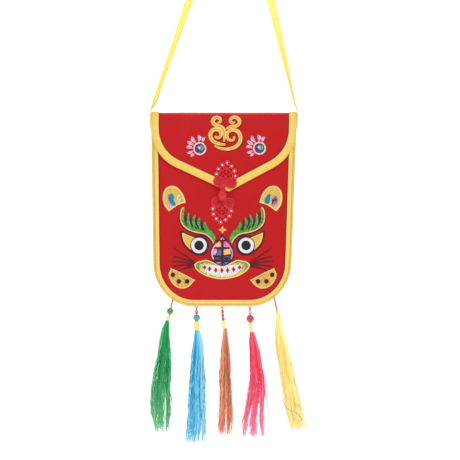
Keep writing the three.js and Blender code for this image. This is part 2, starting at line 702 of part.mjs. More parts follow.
// Columns of the outline tables: right and up, from the patch's middle. Ears and brows are the
// left ones of their pairs.
const EAR_OUTLINE = [
  [-0.26, -0.5], [-0.04, -0.32], [0.22, -0.2], [0.5, -0.14], [0.32, 0.23],
  [-0.12, 0.5], [-0.36, 0.42], [-0.5, 0.13],
];
const BROW_OUTLINE = [
  [-0.39, 0.5], [-0.5, 0.19], [-0.31, -0.1], [0.13, -0.25], [0.49, -0.5], [0.46, -0.24],
  [0.3, -0.16], [0.21, 0.1], [0.09, -0.06], [-0.06, 0.32], [-0.14, 0.04], [-0.27, 0.33],
  [-0.31, 0.14],
];
const NOSE_OUTLINE = mirrored([
  [0, 0.5], [0.17, 0.33], [0.33, 0.08], [0.49, -0.1], [0.47, -0.25], [0.34, -0.38],
  [0.16, -0.47], [0, -0.5],
]);
const MOUTH_OUTLINE = mirrored([
  [0, MOUTH_DIP], [0.1, 0.13], [0.17, 0.25], [0.24, 0.5], [0.5, 0.32], [0.39, -0.08],
  [0.21, -0.42], [0, -0.5],
]);

// An eye's ball, drawn out to a pointed outer corner on the left. The arc is in degrees, and the
// corner in shares of the ball's radius.
const EYE_ARC = { from: 200, to: 460, steps: 13 };
const EYE_CORNER = [-1.8, 1.15];
function eyeOutline() {
  const ball = steps(EYE_ARC.from, EYE_ARC.to, EYE_ARC.steps).map((turn) => [
    Math.cos(radians(turn)),
    Math.sin(radians(turn)),
  ]);
  return outlined([...ball, EYE_CORNER], EYE_RADIUS, EYE_RADIUS);
}

// A half moon under the cheek, its straight edge running down to the right.
const CHEEK_STEPS = 9;
function cheekOutline() {
  const middle = new THREE.Vector2();
  return steps(180, 360, CHEEK_STEPS).map((turn) =>
    new THREE.Vector2(Math.cos(radians(turn)), Math.sin(radians(turn)))
      .multiplyScalar(CHEEK_RADIUS)
      .rotateAround(middle, -radians(CHEEKS.tilt)));
}

// A round motif whose edge swells into lobes. swell is a share of the radius.
const LOBES = {
  blossom: { count: 5, swell: 0.12 },
  forehead: { count: 4, swell: 0.25 },
  cloud: { count: 4, swell: 0.15 },
};
const STEPS_PER_LOBE = 4;
function lobed(radius, { count, swell }) {
  return steps(0, 360, count * STEPS_PER_LOBE).slice(0, -1).map((turn) => {
    const reach = radius * (1 - swell + swell * Math.cos(radians(turn * count)));
    return new THREE.Vector2(reach * Math.sin(radians(turn)), reach * Math.cos(radians(turn)));
  });
}

// Tassels

const BEAD_ROWS = 5;
const ROUND_SIDES = 10;

function bead(radius, centre) {
  const bore = TASSEL_CORD_RADIUS + CLEARANCE;
  const half = Math.acos(bore / radius);
  const arc = steps(-half, half, BEAD_ROWS).map((turn) => [
    radius * Math.cos(turn),
    radius * Math.sin(turn) + centre,
  ]);
  return turned([...arc, arc[0]], ROUND_SIDES);
}

function neckRing(radius, low, high) {
  const bore = STEM_RADIUS + CLEARANCE;
  const round = (radius - bore) / 2;
  const profile = [
    [bore, low], [radius, low + round], [radius, high - round], [bore, high], [bore, low],
  ];
  return turned(profile, ROUND_SIDES);
}

// How thick a lock of thread is, as a share of LOCK_RADIUS, down its length.
const LOCK_FORM = [
  { down: 0, thick: 0.45 }, { down: 0.12, thick: 0.8 }, { down: 0.85, thick: 1 },
  { down: 1, thick: 0.65 },
];
const LOCK_SIDES = 4;

function lock(number, { skirt, spread, flare }) {
  const turn = (2 * Math.PI * number) / LOCKS;
  const shorter = (RAGGED * ((number * 3) % LOCKS)) / (LOCKS - 1);
  const length = SKIRT_LENGTH * skirt * (1 - shorter);
  const around = steps(0, 2 * Math.PI, LOCK_SIDES).slice(0, -1);
  const rings = LOCK_FORM.map(({ down, thick }) => {
    const flared = SKIRT_SPREAD * spread * down ** flare;
    const half = Math.max(flared, LOCK_RADIUS * LOCK_FORM[0].thick);
    const radius = Math.min(LOCK_RADIUS * thick, half * SKIRT_DEPTH);
    return around.map((at) => new THREE.Vector3(
      (half - radius) * Math.cos(turn) + radius * Math.cos(at + turn),
      (half * SKIRT_DEPTH - radius) * Math.sin(turn) + radius * Math.sin(at + turn),
      -length * down,
    ));
  });
  return loft(rings, around.map((at) => new THREE.Vector2(Math.cos(at), Math.sin(at))));
}

function skirtOf(tassel) {
  const { neck, cordLean, skirtLean } = tassel;
  const head = new THREE.SphereGeometry(HEAD_RADIUS, 6, 4).translate(0, 0, -HEAD_RADIUS);
  const locks = Array.from({ length: LOCKS }, (_, k) =>
    lock(k, tassel)
      .translate(0, 0, -HEAD_RADIUS / 2)
      .rotateY(radians(cordLean - skirtLean)));
  return fuse([head, rod(STEM_RADIUS, -HEAD_RADIUS, NECK_LENGTH * neck, 6), ...locks]);
}

// The assembly

const purse = new THREE.Group();
const bag = new THREE.Group();
bag.position.set(-peg.x, -ribbonDepth, -(peg.z + BEND_RADIUS));
purse.add(bag);

function add(name, geometry, finish, group = bag) {
  const mesh = new THREE.Mesh(closedBody(geometry), new THREE.MeshStandardMaterial(finish));
  mesh.geometry.computeVertexNormals();
  mesh.name = name;
  group.add(mesh);
  return mesh;
}

add("back_and_flap", foldedCloth(), RED_CLOTH);
add("front_panel", frontPanel(), RED_CLOTH);
add("body_tape", bodyTape(), YELLOW_TAPE);
add("flap_tape", flapTape(), YELLOW_TAPE);
add("ribbon_strap", ribbon(), YELLOW_RIBBON);

add("fastener_upper", fastenerHalf(1), RED_CORD);
add("fastener_lower", fastenerHalf(-1), RED_CORD);
add("button_knot", buttonKnot(), RED_CORD);
for (const [name, half, face] of [["upper", 1, flapFace], ["lower", -1, frontOuter]]) {
  PETALS.forEach((petal, k) =>
    add(`stone_${name}_${k + 1}`, stone(petalPoint(petal, half), face), CLEAR_STONE));
}

const ear = outlined(EAR_OUTLINE, EAR_WIDTH, EAR_HEIGHT);
const brow = outlined(BROW_OUTLINE, BROW_WIDTH, BROW_HEIGHT);
const blossom = lobed(BLOSSOM_RADIUS, LOBES.blossom);
for (const [side, flip] of [["left", 1], ["right", -1]]) {
  const at = ({ out, drop }) => ({ x: MASK_SHIFT - flip * out, z: -drop });
  add(`ear_${side}`, patch(ear, at(EARS), frontOuter, flip), GOLD_THREAD);
  add(`brow_${side}`, patch(brow, at(BROWS), frontOuter, flip), GREEN_THREAD);
  add(`eye_${side}`, patch(eyeOutline(), at(EYES), frontOuter, flip), WHITE_THREAD);
  add(`cheek_${side}`, patch(cheekOutline(), at(CHEEKS), frontOuter, flip), GOLD_THREAD);
  const bloom = { x: BLOSSOMS.right - flip * BLOSSOMS.out, z: -BLOSSOMS.drop };
  add(`blossom_${side}`, patch(blossom, bloom, flapFace), PINK_THREAD);
}
const middle = ({ drop }) => ({ x: MASK_SHIFT, z: -drop });
const nose = outlined(NOSE_OUTLINE, NOSE_WIDTH, NOSE_HEIGHT);
const mouth = outlined(MOUTH_OUTLINE, MOUTH_WIDTH, MOUTH_HEIGHT);
const forehead = lobed(FOREHEAD_WIDTH / 2, LOBES.forehead);
const cloud = lobed(CLOUD_RADIUS, LOBES.cloud);
add("nose", patch(nose, middle(NOSE), frontOuter), VIOLET_THREAD);
add("mouth", patch(mouth, middle(MOUTH), frontOuter), WHITE_THREAD);
add("forehead_mark", patch(forehead, middle(FOREHEAD), frontOuter), GOLD_THREAD);
add("cloud_ornament", patch(cloud, { x: CLOUD.right, z: -CLOUD.drop }, flapFace), GOLD_THREAD);

for (const tassel of TASSELS) {
  const { name, across, cordLean } = tassel;
  const hung = new THREE.Group();
  const x = across * halfWidth;
  hung.position.copy(settle(x, 0, -bodyEdge(x, 0)));
  hung.rotation.y = -radians(cordLean);
  bag.add(hung);
  const colour = { color: TASSEL_COLOURS[name], roughness: 0.5 };
  const cordEnd = -CORD_LENGTH * tassel.cord;
  const neckTop = cordEnd - CLEARANCE;
  const neckEnd = neckTop - NECK_LENGTH * tassel.neck;
  const neckRadius = NECK_RADIUS * tassel.neckRadius;
  const beadRadius = BEAD_RADIUS * tassel.bead;
  add(`${name}_tassel_cord`, rod(TASSEL_CORD_RADIUS, cordEnd, -CLEARANCE * 2), RED_CORD, hung);
  if (beadRadius > 0) add(`${name}_bead`, bead(beadRadius, cordEnd + beadRadius), colour, hung);
  add(`${name}_tassel_neck`, neckRing(neckRadius, neckEnd, neckTop), YELLOW_TAPE, hung);
  const skirt = add(`${name}_tassel_skirt`, skirtOf(tassel), colour, hung);
  skirt.position.z = neckEnd - CLEARANCE;
}

export default purse;
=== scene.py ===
# %% [markdown]
# # A folk embroidered hanging purse
#
# The purse is a flat pouch of red satin with a pointed flap. A yellow bias tape binds every
# edge, a knotted cord fastener with cut stones closes it, a tiger mask is embroidered on its
# front, five tassels hang from its lower edge, and a satin ribbon carries it. The lesson goes
# through the purse in the order in which a maker would: cloth, tape, ribbon, fastener,
# stitching and tassels. Every length is in millimetres until a mesh is made, because tape,
# thread and stones are sold that way.

# %% Load the frame
import json
import math
import random

import bpy
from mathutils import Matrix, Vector, noise

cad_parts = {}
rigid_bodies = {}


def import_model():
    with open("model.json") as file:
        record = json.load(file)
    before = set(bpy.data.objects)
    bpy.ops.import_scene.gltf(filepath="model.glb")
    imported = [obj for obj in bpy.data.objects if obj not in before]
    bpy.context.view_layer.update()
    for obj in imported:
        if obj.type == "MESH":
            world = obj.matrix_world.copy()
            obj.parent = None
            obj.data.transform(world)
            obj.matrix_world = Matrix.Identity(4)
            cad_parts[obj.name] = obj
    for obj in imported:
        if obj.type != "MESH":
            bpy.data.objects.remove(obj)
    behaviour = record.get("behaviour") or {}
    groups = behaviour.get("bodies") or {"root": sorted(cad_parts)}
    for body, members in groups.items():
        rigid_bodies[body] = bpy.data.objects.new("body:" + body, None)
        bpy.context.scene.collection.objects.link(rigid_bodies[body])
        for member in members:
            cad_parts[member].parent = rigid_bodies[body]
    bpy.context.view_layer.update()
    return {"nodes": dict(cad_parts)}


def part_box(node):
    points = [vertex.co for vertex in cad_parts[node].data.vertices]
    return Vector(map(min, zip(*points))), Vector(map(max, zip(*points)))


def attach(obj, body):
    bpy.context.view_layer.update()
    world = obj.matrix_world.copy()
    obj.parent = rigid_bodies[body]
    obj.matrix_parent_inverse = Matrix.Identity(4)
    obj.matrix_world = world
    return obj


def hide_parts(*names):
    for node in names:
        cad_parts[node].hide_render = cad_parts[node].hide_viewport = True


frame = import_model()
MM = 0.001
print("nodes in the frame:", len(frame["nodes"]))

# %% [markdown]
# ## Camera, light and stage
#
# A hanging purse is photographed straight from the front against white. A long lens from two
# metres away keeps both sides of the pouch parallel. The soft light is one large panel above
# and in front, weaker ones on the left and over the top fold, and a white surround that fills
# every shadow. A white sweep of board, a floor that curves up into a wall, is what a studio
# would put behind it.

# %% Camera, light and stage
DRAWING_WIDTH = 460  # width and height of what the camera sees at the purse
CAMERA_DISTANCE = 2200
MIDDLE = Vector((-6.5, -5, -350.4))

camera = bpy.data.objects.new("camera", bpy.data.cameras.new("camera"))
camera.data.sensor_fit = "HORIZONTAL"
camera.data.angle = 2 * math.atan(DRAWING_WIDTH / 2 / CAMERA_DISTANCE)
camera.location = (MIDDLE - Vector((0, CAMERA_DISTANCE, 0))) * MM
camera.rotation_euler = (math.radians(90), 0, 0)
bpy.context.scene.collection.objects.link(camera)
bpy.context.scene.camera = camera

# Each lamp: place, size and power in metres and watts. All look at the purse's middle.
LAMPS = [
    {"name": "key", "place": (0.35, -1.5, 0.75), "size": 0.8, "power": 17},
    {"name": "fill", "place": (-1.4, -1.3, -0.1), "size": 1.2, "power": 4.5},
    {"name": "top", "place": (0.0, 0.35, 0.9), "size": 0.8, "power": 10},
]
for lamp in LAMPS:
    panel = bpy.data.objects.new(lamp["name"], bpy.data.lights.new(lamp["name"], "AREA"))
    panel.data.size = lamp["size"]
    panel.data.energy = lamp["power"]
    panel.location = lamp["place"]
    aim = MIDDLE * MM - panel.location
    panel.rotation_euler = aim.to_track_quat("-Z", "Y").to_euler()
    bpy.context.scene.collection.objects.link(panel)

world = bpy.data.worlds.new("surround")
bpy.context.scene.world = world
world.use_nodes = True
world.node_tree.nodes["Background"].inputs["Color"].default_value = (1, 1, 1, 1)
world.node_tree.nodes["Background"].inputs["Strength"].default_value = 0.42
bpy.context.scene.view_settings.view_transform = "Standard"

BOARD_HALF, BOARD_TOP = 3.5, 2.2  # in metres


def board_profile():
    """The sweep's outline from the front of the floor to the top of the wall, as (y, z)."""
    floor, wall, bend = -0.95, 3.0, 0.6
    curve = [math.radians(turn) for turn in range(-90, 1, 10)]
    bow = [(wall - bend + bend * math.cos(a), floor + bend + bend * math.sin(a)) for a in curve]
    return [(-BOARD_HALF, floor), *bow, (wall, BOARD_TOP)]


profile = board_profile()
board_points = [(side, y, z) for y, z in profile for side in (-BOARD_HALF, BOARD_HALF)]
board_faces = [(2 * k, 2 * k + 1, 2 * k + 3, 2 * k + 2) for k in range(len(profile) - 1)]
board_mesh = bpy.data.meshes.new("board")
board_mesh.from_pydata(board_points, [], board_faces)
for face in board_mesh.polygons:
    face.use_smooth = True
board = bpy.data.objects.new("board", board_mesh)
bpy.context.scene.collection.objects.link(board)
white = bpy.data.materials.new("white_board")
white.use_nodes = True
paint = white.node_tree.nodes["Principled BSDF"].inputs
paint["Base Color"].default_value = (0.9, 0.9, 0.9, 1)
paint["Roughness"].default_value = 0.9
paint["Emission Color"].default_value = (1, 1, 1, 1)
paint["Emission Strength"].default_value = 0.5
board_mesh.materials.append(white)
print("lamps:", len(LAMPS), "board faces:", len(board_faces))

# %% [markdown]
# ## A way to write materials as sums
#
# A shader is a net of small nodes. Each node's output is wrapped in a class that knows plus,
# minus and times, so that a weave can be written the way it would be on paper. Numbers go
# through Math nodes and colours through Mix.


# %% Sockets that add up
def linear(red, green, blue):
    """An 8-bit screen colour as the linear light that a shader takes."""
    parts = [value / 255 for value in (red, green, blue)]
    light = [v / 12.92 if v <= 0.04045 else ((v + 0.055) / 1.055) ** 2.4 for v in parts]
    return (*light, 1.0)


class Socket:
    """A node's output that takes part in sums."""

    def __init__(self, tree, output):
        self.tree = tree
        self.output = output

    def node(self, kind, settings=None, values=None, out=0):
        """Adds any other node, with its settings first and then its inputs."""
        made = self.tree.nodes.new(kind)
        for key, value in (settings or {}).items():
            setattr(made, key, value)
        for key, value in (values or {}).items():
            if isinstance(value, Socket):
                self.tree.links.new(value.output, made.inputs[key])
            else:
                made.inputs[key].default_value = value
        return Socket(self.tree, made.outputs[out])

    def sum(self, operation, first, second=0.0):
        if "RGBA" in {one.output.type for one in (first, second) if isinstance(one, Socket)}:
            settings = {"data_type": "RGBA", "blend_type": operation}
            return self.node("ShaderNodeMix", settings, {0: 1.0, 6: first, 7: second}, 2)
        return self.node("ShaderNodeMath", {"operation": operation}, {0: first, 1: second})

    def __add__(self, other):
        return self.sum("ADD", self, other)

    def __sub__(self, other):
        return self.sum("SUBTRACT", self, other)

    def __mul__(self, other):
        return self.sum("MULTIPLY", self, other)

    def sine(self):
        return self.sum("SINE", self)

    def part(self, axis):
        return self.node("ShaderNodeSeparateXYZ", {}, {0: self}, axis)

    def between(self, low, high):
        """A colour that goes from low to high as this number goes from 0 to 1."""
        return self.node("ShaderNodeMix", {"data_type": "RGBA"}, {0: self, 6: low, 7: high}, 2)


class Look(Socket):
    """A material, with constants set on the shader's own sockets."""

    def __init__(self, name, constants):
        self.material = bpy.data.materials.new(name)
        self.material.use_nodes = True
        super().__init__(self.material.node_tree, None)
        self.shader = self.tree.nodes["Principled BSDF"]
        for key, value in constants.items():
            self.shader.inputs[key].default_value = value

    def run(self):
        """Lengths along and across the cloth or cord, in metres or as a share."""
        return self.node("ShaderNodeUVMap", {"uv_map": "run"})

    def tint(self):
        return self.node("ShaderNodeAttribute", {"attribute_name": "tint"})

    def cloudy(self, place, scale, detail=2.0):
        values = {"Vector": place, "Scale": scale, "Detail": detail}
        return self.node("ShaderNodeTexNoise", {}, values)

    def slubs(self, first, second):
        """Streaks of lighter and darker thread."""
        return self.cloudy(self.node("ShaderNodeCombineXYZ", {}, {0: first, 1: second}), 1.0)

    def feed(self, key, value):
        self.tree.links.new(value.output, self.shader.inputs[key])

    def raise_by(self, height, distance):
        values = {"Height": height, "Distance": distance, "Strength": 1.0}
        self.feed("Normal", self.node("ShaderNodeBump", {}, values))


print("operators ready")

# %% [markdown]
# ## Cloth, thread and stone
#
# Satin is woven so that most of each warp thread floats on top. That gives it a soft streaky
# gloss along one way and almost none across. The weave here is two fine waves that only bend
# the light, with faint slubs of lighter and darker thread. Embroidery thread and floss are
# silky too, and carry their own dye as a tint on each stitch or strand.

# %% Materials
TURN = 2 * math.pi
WARP, WEFT, RAISED = 0.00042, 0.0009, 0.00003  # the weave's two pitches and height, in metres
SLUB_WIDE, SLUB_LONG = 900.0, 30.0  # how many slubs a metre has, across and along
BIAS_PITCH, BIAS_SLANT = 0.0006, 40.0  # the tape's slanting threads: pitch in metres, and lean


def satin(name, colour, shade, rough, sheen):
    """Woven satin. shade is the darker colour of its slubs."""
    look = Look(name, {"Roughness": rough, "Sheen Weight": sheen, "Sheen Roughness": 0.4,
                       "Specular IOR Level": 0.2})
    run = look.run()
    along, across = run.part(1), run.part(0)
    slub = look.slubs(across * SLUB_WIDE, along * SLUB_LONG)
    look.feed("Base Color", slub.between(shade, colour))
    threads = (across * (TURN / WARP)).sine() + (along * (TURN / WEFT)).sine() * 0.6
    look.raise_by(threads + slub * 2.0, RAISED)
    return look.material


def dyed(name, rough, constants, strength=0.12, side_shade=0.0, glow=0.0):
    """Thread, cord or floss that carries its dye as a tint. The side shade is painted shade that
    darkens the sides of a cord where they turn away from the view, and glow is painted light, an
    emission in the dye's own colour that stands for light coming through loose floss from behind."""
    look = Look(name, {"Roughness": rough, "Specular IOR Level": 0.25, **constants})
    place = look.node("ShaderNodeTexCoord", out=3)
    uneven = look.cloudy(place, 1700.0) * (2 * strength) + (1 - strength)
    colour = look.tint() * uneven.between((0, 0, 0, 1), (1, 1, 1, 1))
    if side_shade:
        # Painted shade: the cord's sides darken as they turn edge on.
        facing = look.node("ShaderNodeLayerWeight", {}, {"Blend": 0.5}, 1)
        dark = (1 - side_shade, 1 - side_shade, 1 - side_shade, 1)
        colour = colour * look.sum("POWER", facing, 1.5).between((1, 1, 1, 1), dark)
    look.feed("Base Color", colour)
    # Painted light: the floss glows in its own colour.
    if glow:
        look.feed("Emission Color", colour)
        look.shader.inputs["Emission Strength"].default_value = glow
    return look.material


RED_SATIN = satin("red_satin", linear(192, 13, 18), linear(175, 8, 13), 0.5, 0.12)
RIBBON_SATIN = satin("ribbon_satin", linear(255, 246, 132), linear(248, 233, 104), 0.38, 0.1)


def tape_look():
    """Bias tape: a painted peach highlight along its stitched side, with faint slubs and slanting
    threads.
    """
    look = Look("tape_satin", {"Roughness": 0.42, "Sheen Weight": 0.15})
    run = look.run()
    along, across = run.part(0), run.part(1)
    from_middle = look.sum("ABSOLUTE", across * 2.0 - 1.0)
    # Painted highlight: lighter peach towards the stitched edge.
    rim_highlight = look.sum("POWER", from_middle, 5.0)
    body = rim_highlight.between(linear(228, 192, 80), linear(253, 204, 128))
    slub = look.slubs(along * 260.0, across * 2.0)
    look.feed("Base Color", body * slub.between((0.9, 0.9, 0.86, 1), (1.06, 1.06, 1.1, 1)))
    diagonal = (along * (TURN / BIAS_PITCH) + across * BIAS_SLANT).sine()
    look.raise_by(diagonal + slub * 9.0, RAISED)
    return look.material


def stone_look():
    """Cut stones: the table that faces the front is a painted white highlight, and the side facets
    are a painted red reflection of the cord round them.
    """
    look = Look("cut_stone", {"Roughness": 0.08, "Coat Weight": 1.0, "Coat Roughness": 0.04})
    facing = look.node("ShaderNodeTexCoord", out=1).part(1) * -1.0
    # Painted highlight and painted reflection, chosen by which way a facet faces.
    front_glint = look.node("ShaderNodeMapRange", {}, {0: facing, 1: 0.8, 2: 0.95, 3: 0.0, 4: 1.0})
    look.feed("Base Color", front_glint.between(linear(208, 54, 60), linear(255, 232, 226)))
    return look.material


def bead_look(name, colour, vein):
    """Polished beads with faint clouds in them."""
    look = Look(name, {"Roughness": 0.16, "Coat Weight": 0.8, "Coat Roughness": 0.05})
    place = look.node("ShaderNodeTexCoord", out=3)
    look.feed("Base Color", look.cloudy(place, 420.0, 3.0).between(vein, colour))
    return look.material


TAPE_SATIN = tape_look()
CUT_STONE = stone_look()
THREAD = dyed("silk_thread", 0.42, {"Sheen Weight": 0.04})
METAL_THREAD = dyed("gold_thread", 0.36, {"Metallic": 0.35})
# The cord's sides carry painted shade, and the floss has a faint painted glow.
CORD = dyed("twisted_cord", 0.45, {"Sheen Weight": 0.06, "Sheen Roughness": 0.4},
             side_shade=0.55)
FLOSS = dyed("floss", 0.4, {"Sheen Weight": 0.1, "Sheen Roughness": 0.35}, 0.06,
              glow=0.14)
print("materials:", len(bpy.data.materials))

# %% [markdown]
# ## Heaps of points
#
# Everything below is made of rows of points joined by quads: a cloth is a grid, a cord is a
# row of rings, a stitch is a short low arch. A heap collects them and becomes one mesh.


# %% Heaps, paths and cords
class Heap:
    """Points, faces, runs and tints that end up as one mesh."""

    def __init__(self):
        self.points, self.tints, self.faces, self.runs = [], [], [], []

    def grid(self, rows, tint=(1, 1, 1, 1), around=False, along=None, caps=False):
        """Joins rows of points. along gives each row's length so far, in metres, and tint is
        one colour or one for each row."""
        first, count = len(self.points), len(rows[0])
        wide = count if around else count - 1
        along = along or [0.0] * len(rows)
        for k, row in enumerate(rows):
            self.points.extend(row)
            colour = tint[k] if isinstance(tint, list) else tint
            self.tints.extend([colour] * count)
        for r in range(len(rows) - 1):
            low, high = first + r * count, first + (r + 1) * count
            for k in range(wide):
                after = (k + 1) % count
                self.faces.append((low + k, low + after, high + after, high + k))
                left, right = k / wide, (k + 1) / wide
                self.runs.extend([(along[r], left), (along[r], right),
                                  (along[r + 1], right), (along[r + 1], left)])
        if caps:
            last = first + (len(rows) - 1) * count
            self.faces.append(tuple(range(first + count - 1, first - 1, -1)))
            self.faces.append(tuple(range(last, last + count)))
            self.runs.extend([(0.0, 0.0)] * (2 * count))

    def piece(self, name, slot, look, replaced=()):
        """Turns the heap into a piece that rides on the purse and stands for CAD nodes."""
        mesh = bpy.data.meshes.new(name)
        placed = [tuple((BAG + Vector(p)) * MM) for p in self.points]
        mesh.from_pydata(placed, [], self.faces)
        mesh.polygons.foreach_set("use_smooth", [True] * len(mesh.polygons))
        layer = mesh.uv_layers.new(name="run")
        layer.data.foreach_set("uv", [v for pair in self.runs for v in pair])
        tints = mesh.color_attributes.new("tint", "FLOAT_COLOR", "POINT")
        tints.data.foreach_set("color", [v for tint in self.tints for v in tint])
        mesh.materials.append(look)
        made = bpy.data.objects.new(name, mesh)
        bpy.context.scene.collection.objects.link(made)
        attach(made, "root")
        if replaced:
            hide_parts(*replaced)
        return made


def clamp(value, low=0.0, high=1.0):
    return max(low, min(high, value))


def lerp(start, end, share):
    return start + (end - start) * share


def smooth(value, low, high):
    share = clamp((value - low) / (high - low))
    return share * share * (3 - 2 * share)


def spaced(start, end, count):
    return [lerp(start, end, k / count) for k in range(count + 1)]


def curved(points, steps=6, closed=False):
    """A smooth line through points, which bends at each of them."""
    count = len(points)
    line = []
    for k in range(count if closed else count - 1):
        if closed:
            four = [points[(k + step) % count] for step in (-1, 0, 1, 2)]
        else:
            four = [points[clamp(k + step, 0, count - 1)] for step in (-1, 0, 1, 2)]
        a, b, c, d = (Vector(p) for p in four)
        for step in range(steps):
            t = step / steps
            line.append(0.5 * (2 * b + (c - a) * t + (2 * a - 5 * b + 4 * c - d) * t * t
                               + (3 * b - a - 3 * c + d) * t ** 3))
    if not closed:
        line.append(Vector(points[-1]))
    return line


def resampled(line, step):
    """The same line with a point at about every step."""
    line = [Vector(p) for p in line]
    runs = [0.0]
    for before, after in zip(line, line[1:]):
        runs.append(runs[-1] + (after - before).length)
    count = max(2, round(runs[-1] / step))
    even, k = [], 0
    for n in range(count + 1):
        run = runs[-1] * n / count
        while k < len(line) - 2 and runs[k + 1] < run:
            k += 1
        span = max(runs[k + 1] - runs[k], 1e-9)
        even.append(line[k].lerp(line[k + 1], clamp((run - runs[k]) / span)))
    return even


def circle(centre, radius, count=28, closed=False):
    """Flat points round a centre. A closed one comes back to its first point."""
    return [Vector((centre.x + radius * math.cos(TURN * k / count),
                    centre.y + radius * math.sin(TURN * k / count)))
            for k in range(count + closed)]


def cord(heap, path, radius, tint, plies=2, pitch=3.0, sides=8, depth=0.2):
    """A cord of twisted plies along a path of points. radius is a number or one for each
    point."""
    normal = Vector((0, 1, 0.01))
    rows, along = [], [0.0]
    for k, point in enumerate(path):
        before, after = path[max(k - 1, 0)], path[min(k + 1, len(path) - 1)]
        tangent = (after - before).normalized()
        normal = normal - tangent * normal.dot(tangent)
        if normal.length < 1e-6:
            normal = tangent.orthogonal()
        normal.normalize()
        side = tangent.cross(normal)
        if k:
            along.append(along[-1] + (point - path[k - 1]).length * MM)
        wide = radius[k] if isinstance(radius, list) else radius
        turned = TURN * along[-1] / (pitch * MM)
        ring = []
        for s in range(sides):
            at = TURN * s / sides
            out = wide * (1 - depth / 2 + depth / 2 * math.cos(plies * at - turned))
            ring.append(point + normal * (math.cos(at) * out) + side * (math.sin(at) * out))
        rows.append(ring)
    heap.grid(rows, tint, around=True, along=along, caps=True)


print("makers ready")

# %% [markdown]
# ## The pouch's form
#
# A pouch that holds nothing still has a belly, because its two padded walls are sewn together
# only at the edge. The wall stands off by a quarter sine wave that starts at the seam. The
# sides come in a little towards the lower edge. These functions say where each face of the
# cloth lies, so that tape, cord and stitches can all be laid on it.

# %% Form of the pouch
POUCH_WIDTH, POUCH_HEIGHT = 146.5, 194.3
HALF = POUCH_WIDTH / 2
SIDE_DRAW_IN, LOWER_LEAN = 5.0, -2.0
CORNER_RADIUS = 43.0
CLOTH, SEAM_GAP = 1.6, 0.4
FRONT_BELLY, BACK_BELLY, BELLY_RISE = 4.6, 1.8, 45.0
MOUTH_SHARE, MOUTH_DEPTH, FRONT_TOP_DROP = 0.8, 60.0, 8.0
CLEARANCE, TAPE = 0.3, 0.8
EDGE = CLEARANCE + TAPE
TIP_DROP, TIP_SHIFT, SHOULDER_DROP, FLAP_CORNER = 79.3, 5.6, 43.6, 42.0
BODY_TAPE_WIDTH, FLAP_TAPE_WIDTH, FLAP_TAPE_TURN = 6.8, 7.8, 6.5
LIFT_BLEND = 20.0
RIBBON_WIDTH, RIBBON_THICKNESS, RIBBON_TAB = 8.0, 0.9, 16.0
RIBBON_FREE, RIBBON_RISE, RIBBON_CROSSING, BEND_RADIUS = 7.7, 255.6, 14.1, 8.0


def settle(x, z):
    """The x that a place has once the sides are drawn in."""
    down = clamp(-z / POUCH_HEIGHT)
    return x * (1 - SIDE_DRAW_IN / HALF * down) + LOWER_LEAN * down


def unsettled(x, z):
    down = clamp(-z / POUCH_HEIGHT)
    return (x - LOWER_LEAN * down) / (1 - SIDE_DRAW_IN / HALF * down)


def past_corner(x, z):
    """How far a place lies past the start of a lower corner, across and down."""
    return abs(x) - (HALF - CORNER_RADIUS), -z - (POUCH_HEIGHT - CORNER_RADIUS)


def edge_distance(x, z):
    corner_x, corner_z = past_corner(x, z)
    if corner_x > 0 and corner_z > 0:
        return CORNER_RADIUS - math.hypot(corner_x, corner_z)
    return min(HALF - abs(x), POUCH_HEIGHT + z)


def bulge(x, z):
    inside = clamp((edge_distance(x, z) - EDGE) / BELLY_RISE)
    return math.sin(inside * math.pi / 2) * lerp(MOUTH_SHARE, 1, smooth(-z, 0, MOUTH_DEPTH))


def front_inner(x, z):
    return -(SEAM_GAP / 2 + FRONT_BELLY * bulge(x, z))


def back_inner(x, z):
    return SEAM_GAP / 2 + BACK_BELLY * bulge(x, z)


def flap_inner(x, z):
    over_cloth = EDGE + CLEARANCE
    lift = 1 - smooth(HALF - abs(x) - BODY_TAPE_WIDTH, 0, LIFT_BLEND)
    return front_inner(x, z) - CLOTH - lerp(over_cloth, over_cloth + EDGE, lift)


def fold_radius(x):
    return (back_inner(x, 0) - flap_inner(x, 0) + CLOTH) / 2


def fold_middle(x):
    return (back_inner(x, 0) + flap_inner(x, 0)) / 2


def folded_point(x, drop, out):
    """A point of the cloth that is back, fold and flap. drop is positive on the flap, and out
    is measured from the middle of the cloth."""
    radius = fold_radius(x)
    if abs(drop) < radius:
        turn = drop / radius * math.pi / 2
        y = fold_middle(x) - (radius + out) * math.sin(turn)
        z = (radius + out) * math.cos(turn) - radius - CLOTH / 2
    else:
        z = -abs(drop) - CLOTH / 2
        y = flap_inner(x, z) - CLOTH / 2 - out if drop > 0 else back_inner(x, z) + CLOTH / 2 + out
    return Vector((settle(x, z), y, z))


def body_edge(x, inset=0.0):
    past = abs(x) - (HALF - CORNER_RADIUS)
    if past <= 0:
        return POUCH_HEIGHT - inset
    radius = CORNER_RADIUS - inset
    return POUCH_HEIGHT - CORNER_RADIUS + math.sqrt(max(radius ** 2 - past ** 2, 0))


def flap_side(side):
    slope = (TIP_DROP - SHOULDER_DROP) / (HALF - side * TIP_SHIFT)
    steep = math.hypot(1, slope)
    return slope, steep, SHOULDER_DROP - FLAP_CORNER * (steep - slope)


def flap_edge(x, inset=0.0):
    drops = []
    for side in (-1, 1):
        slope, steep, centre = flap_side(side)
        from_side = HALF - side * x
        radius = FLAP_CORNER - inset
        if from_side >= FLAP_CORNER - radius * slope / steep:
            drops.append(SHOULDER_DROP + slope * from_side - inset * steep)
        else:
            along = FLAP_CORNER - from_side
            drops.append(centre + math.sqrt(max(radius ** 2 - along ** 2, 0)))
    return min(drops)


def peg_place():
    left = math.atan2(HALF + RIBBON_CROSSING, RIBBON_RISE)
    right = math.atan2(HALF - RIBBON_CROSSING, RIBBON_RISE)
    radius = BEND_RADIUS + RIBBON_THICKNESS / 2
    below = radius / math.sin((left + right) / 2)
    lean = (left - right) / 2
    return (RIBBON_CROSSING - below * math.sin(lean), RIBBON_RISE - below * math.cos(lean),
            radius, left, right)


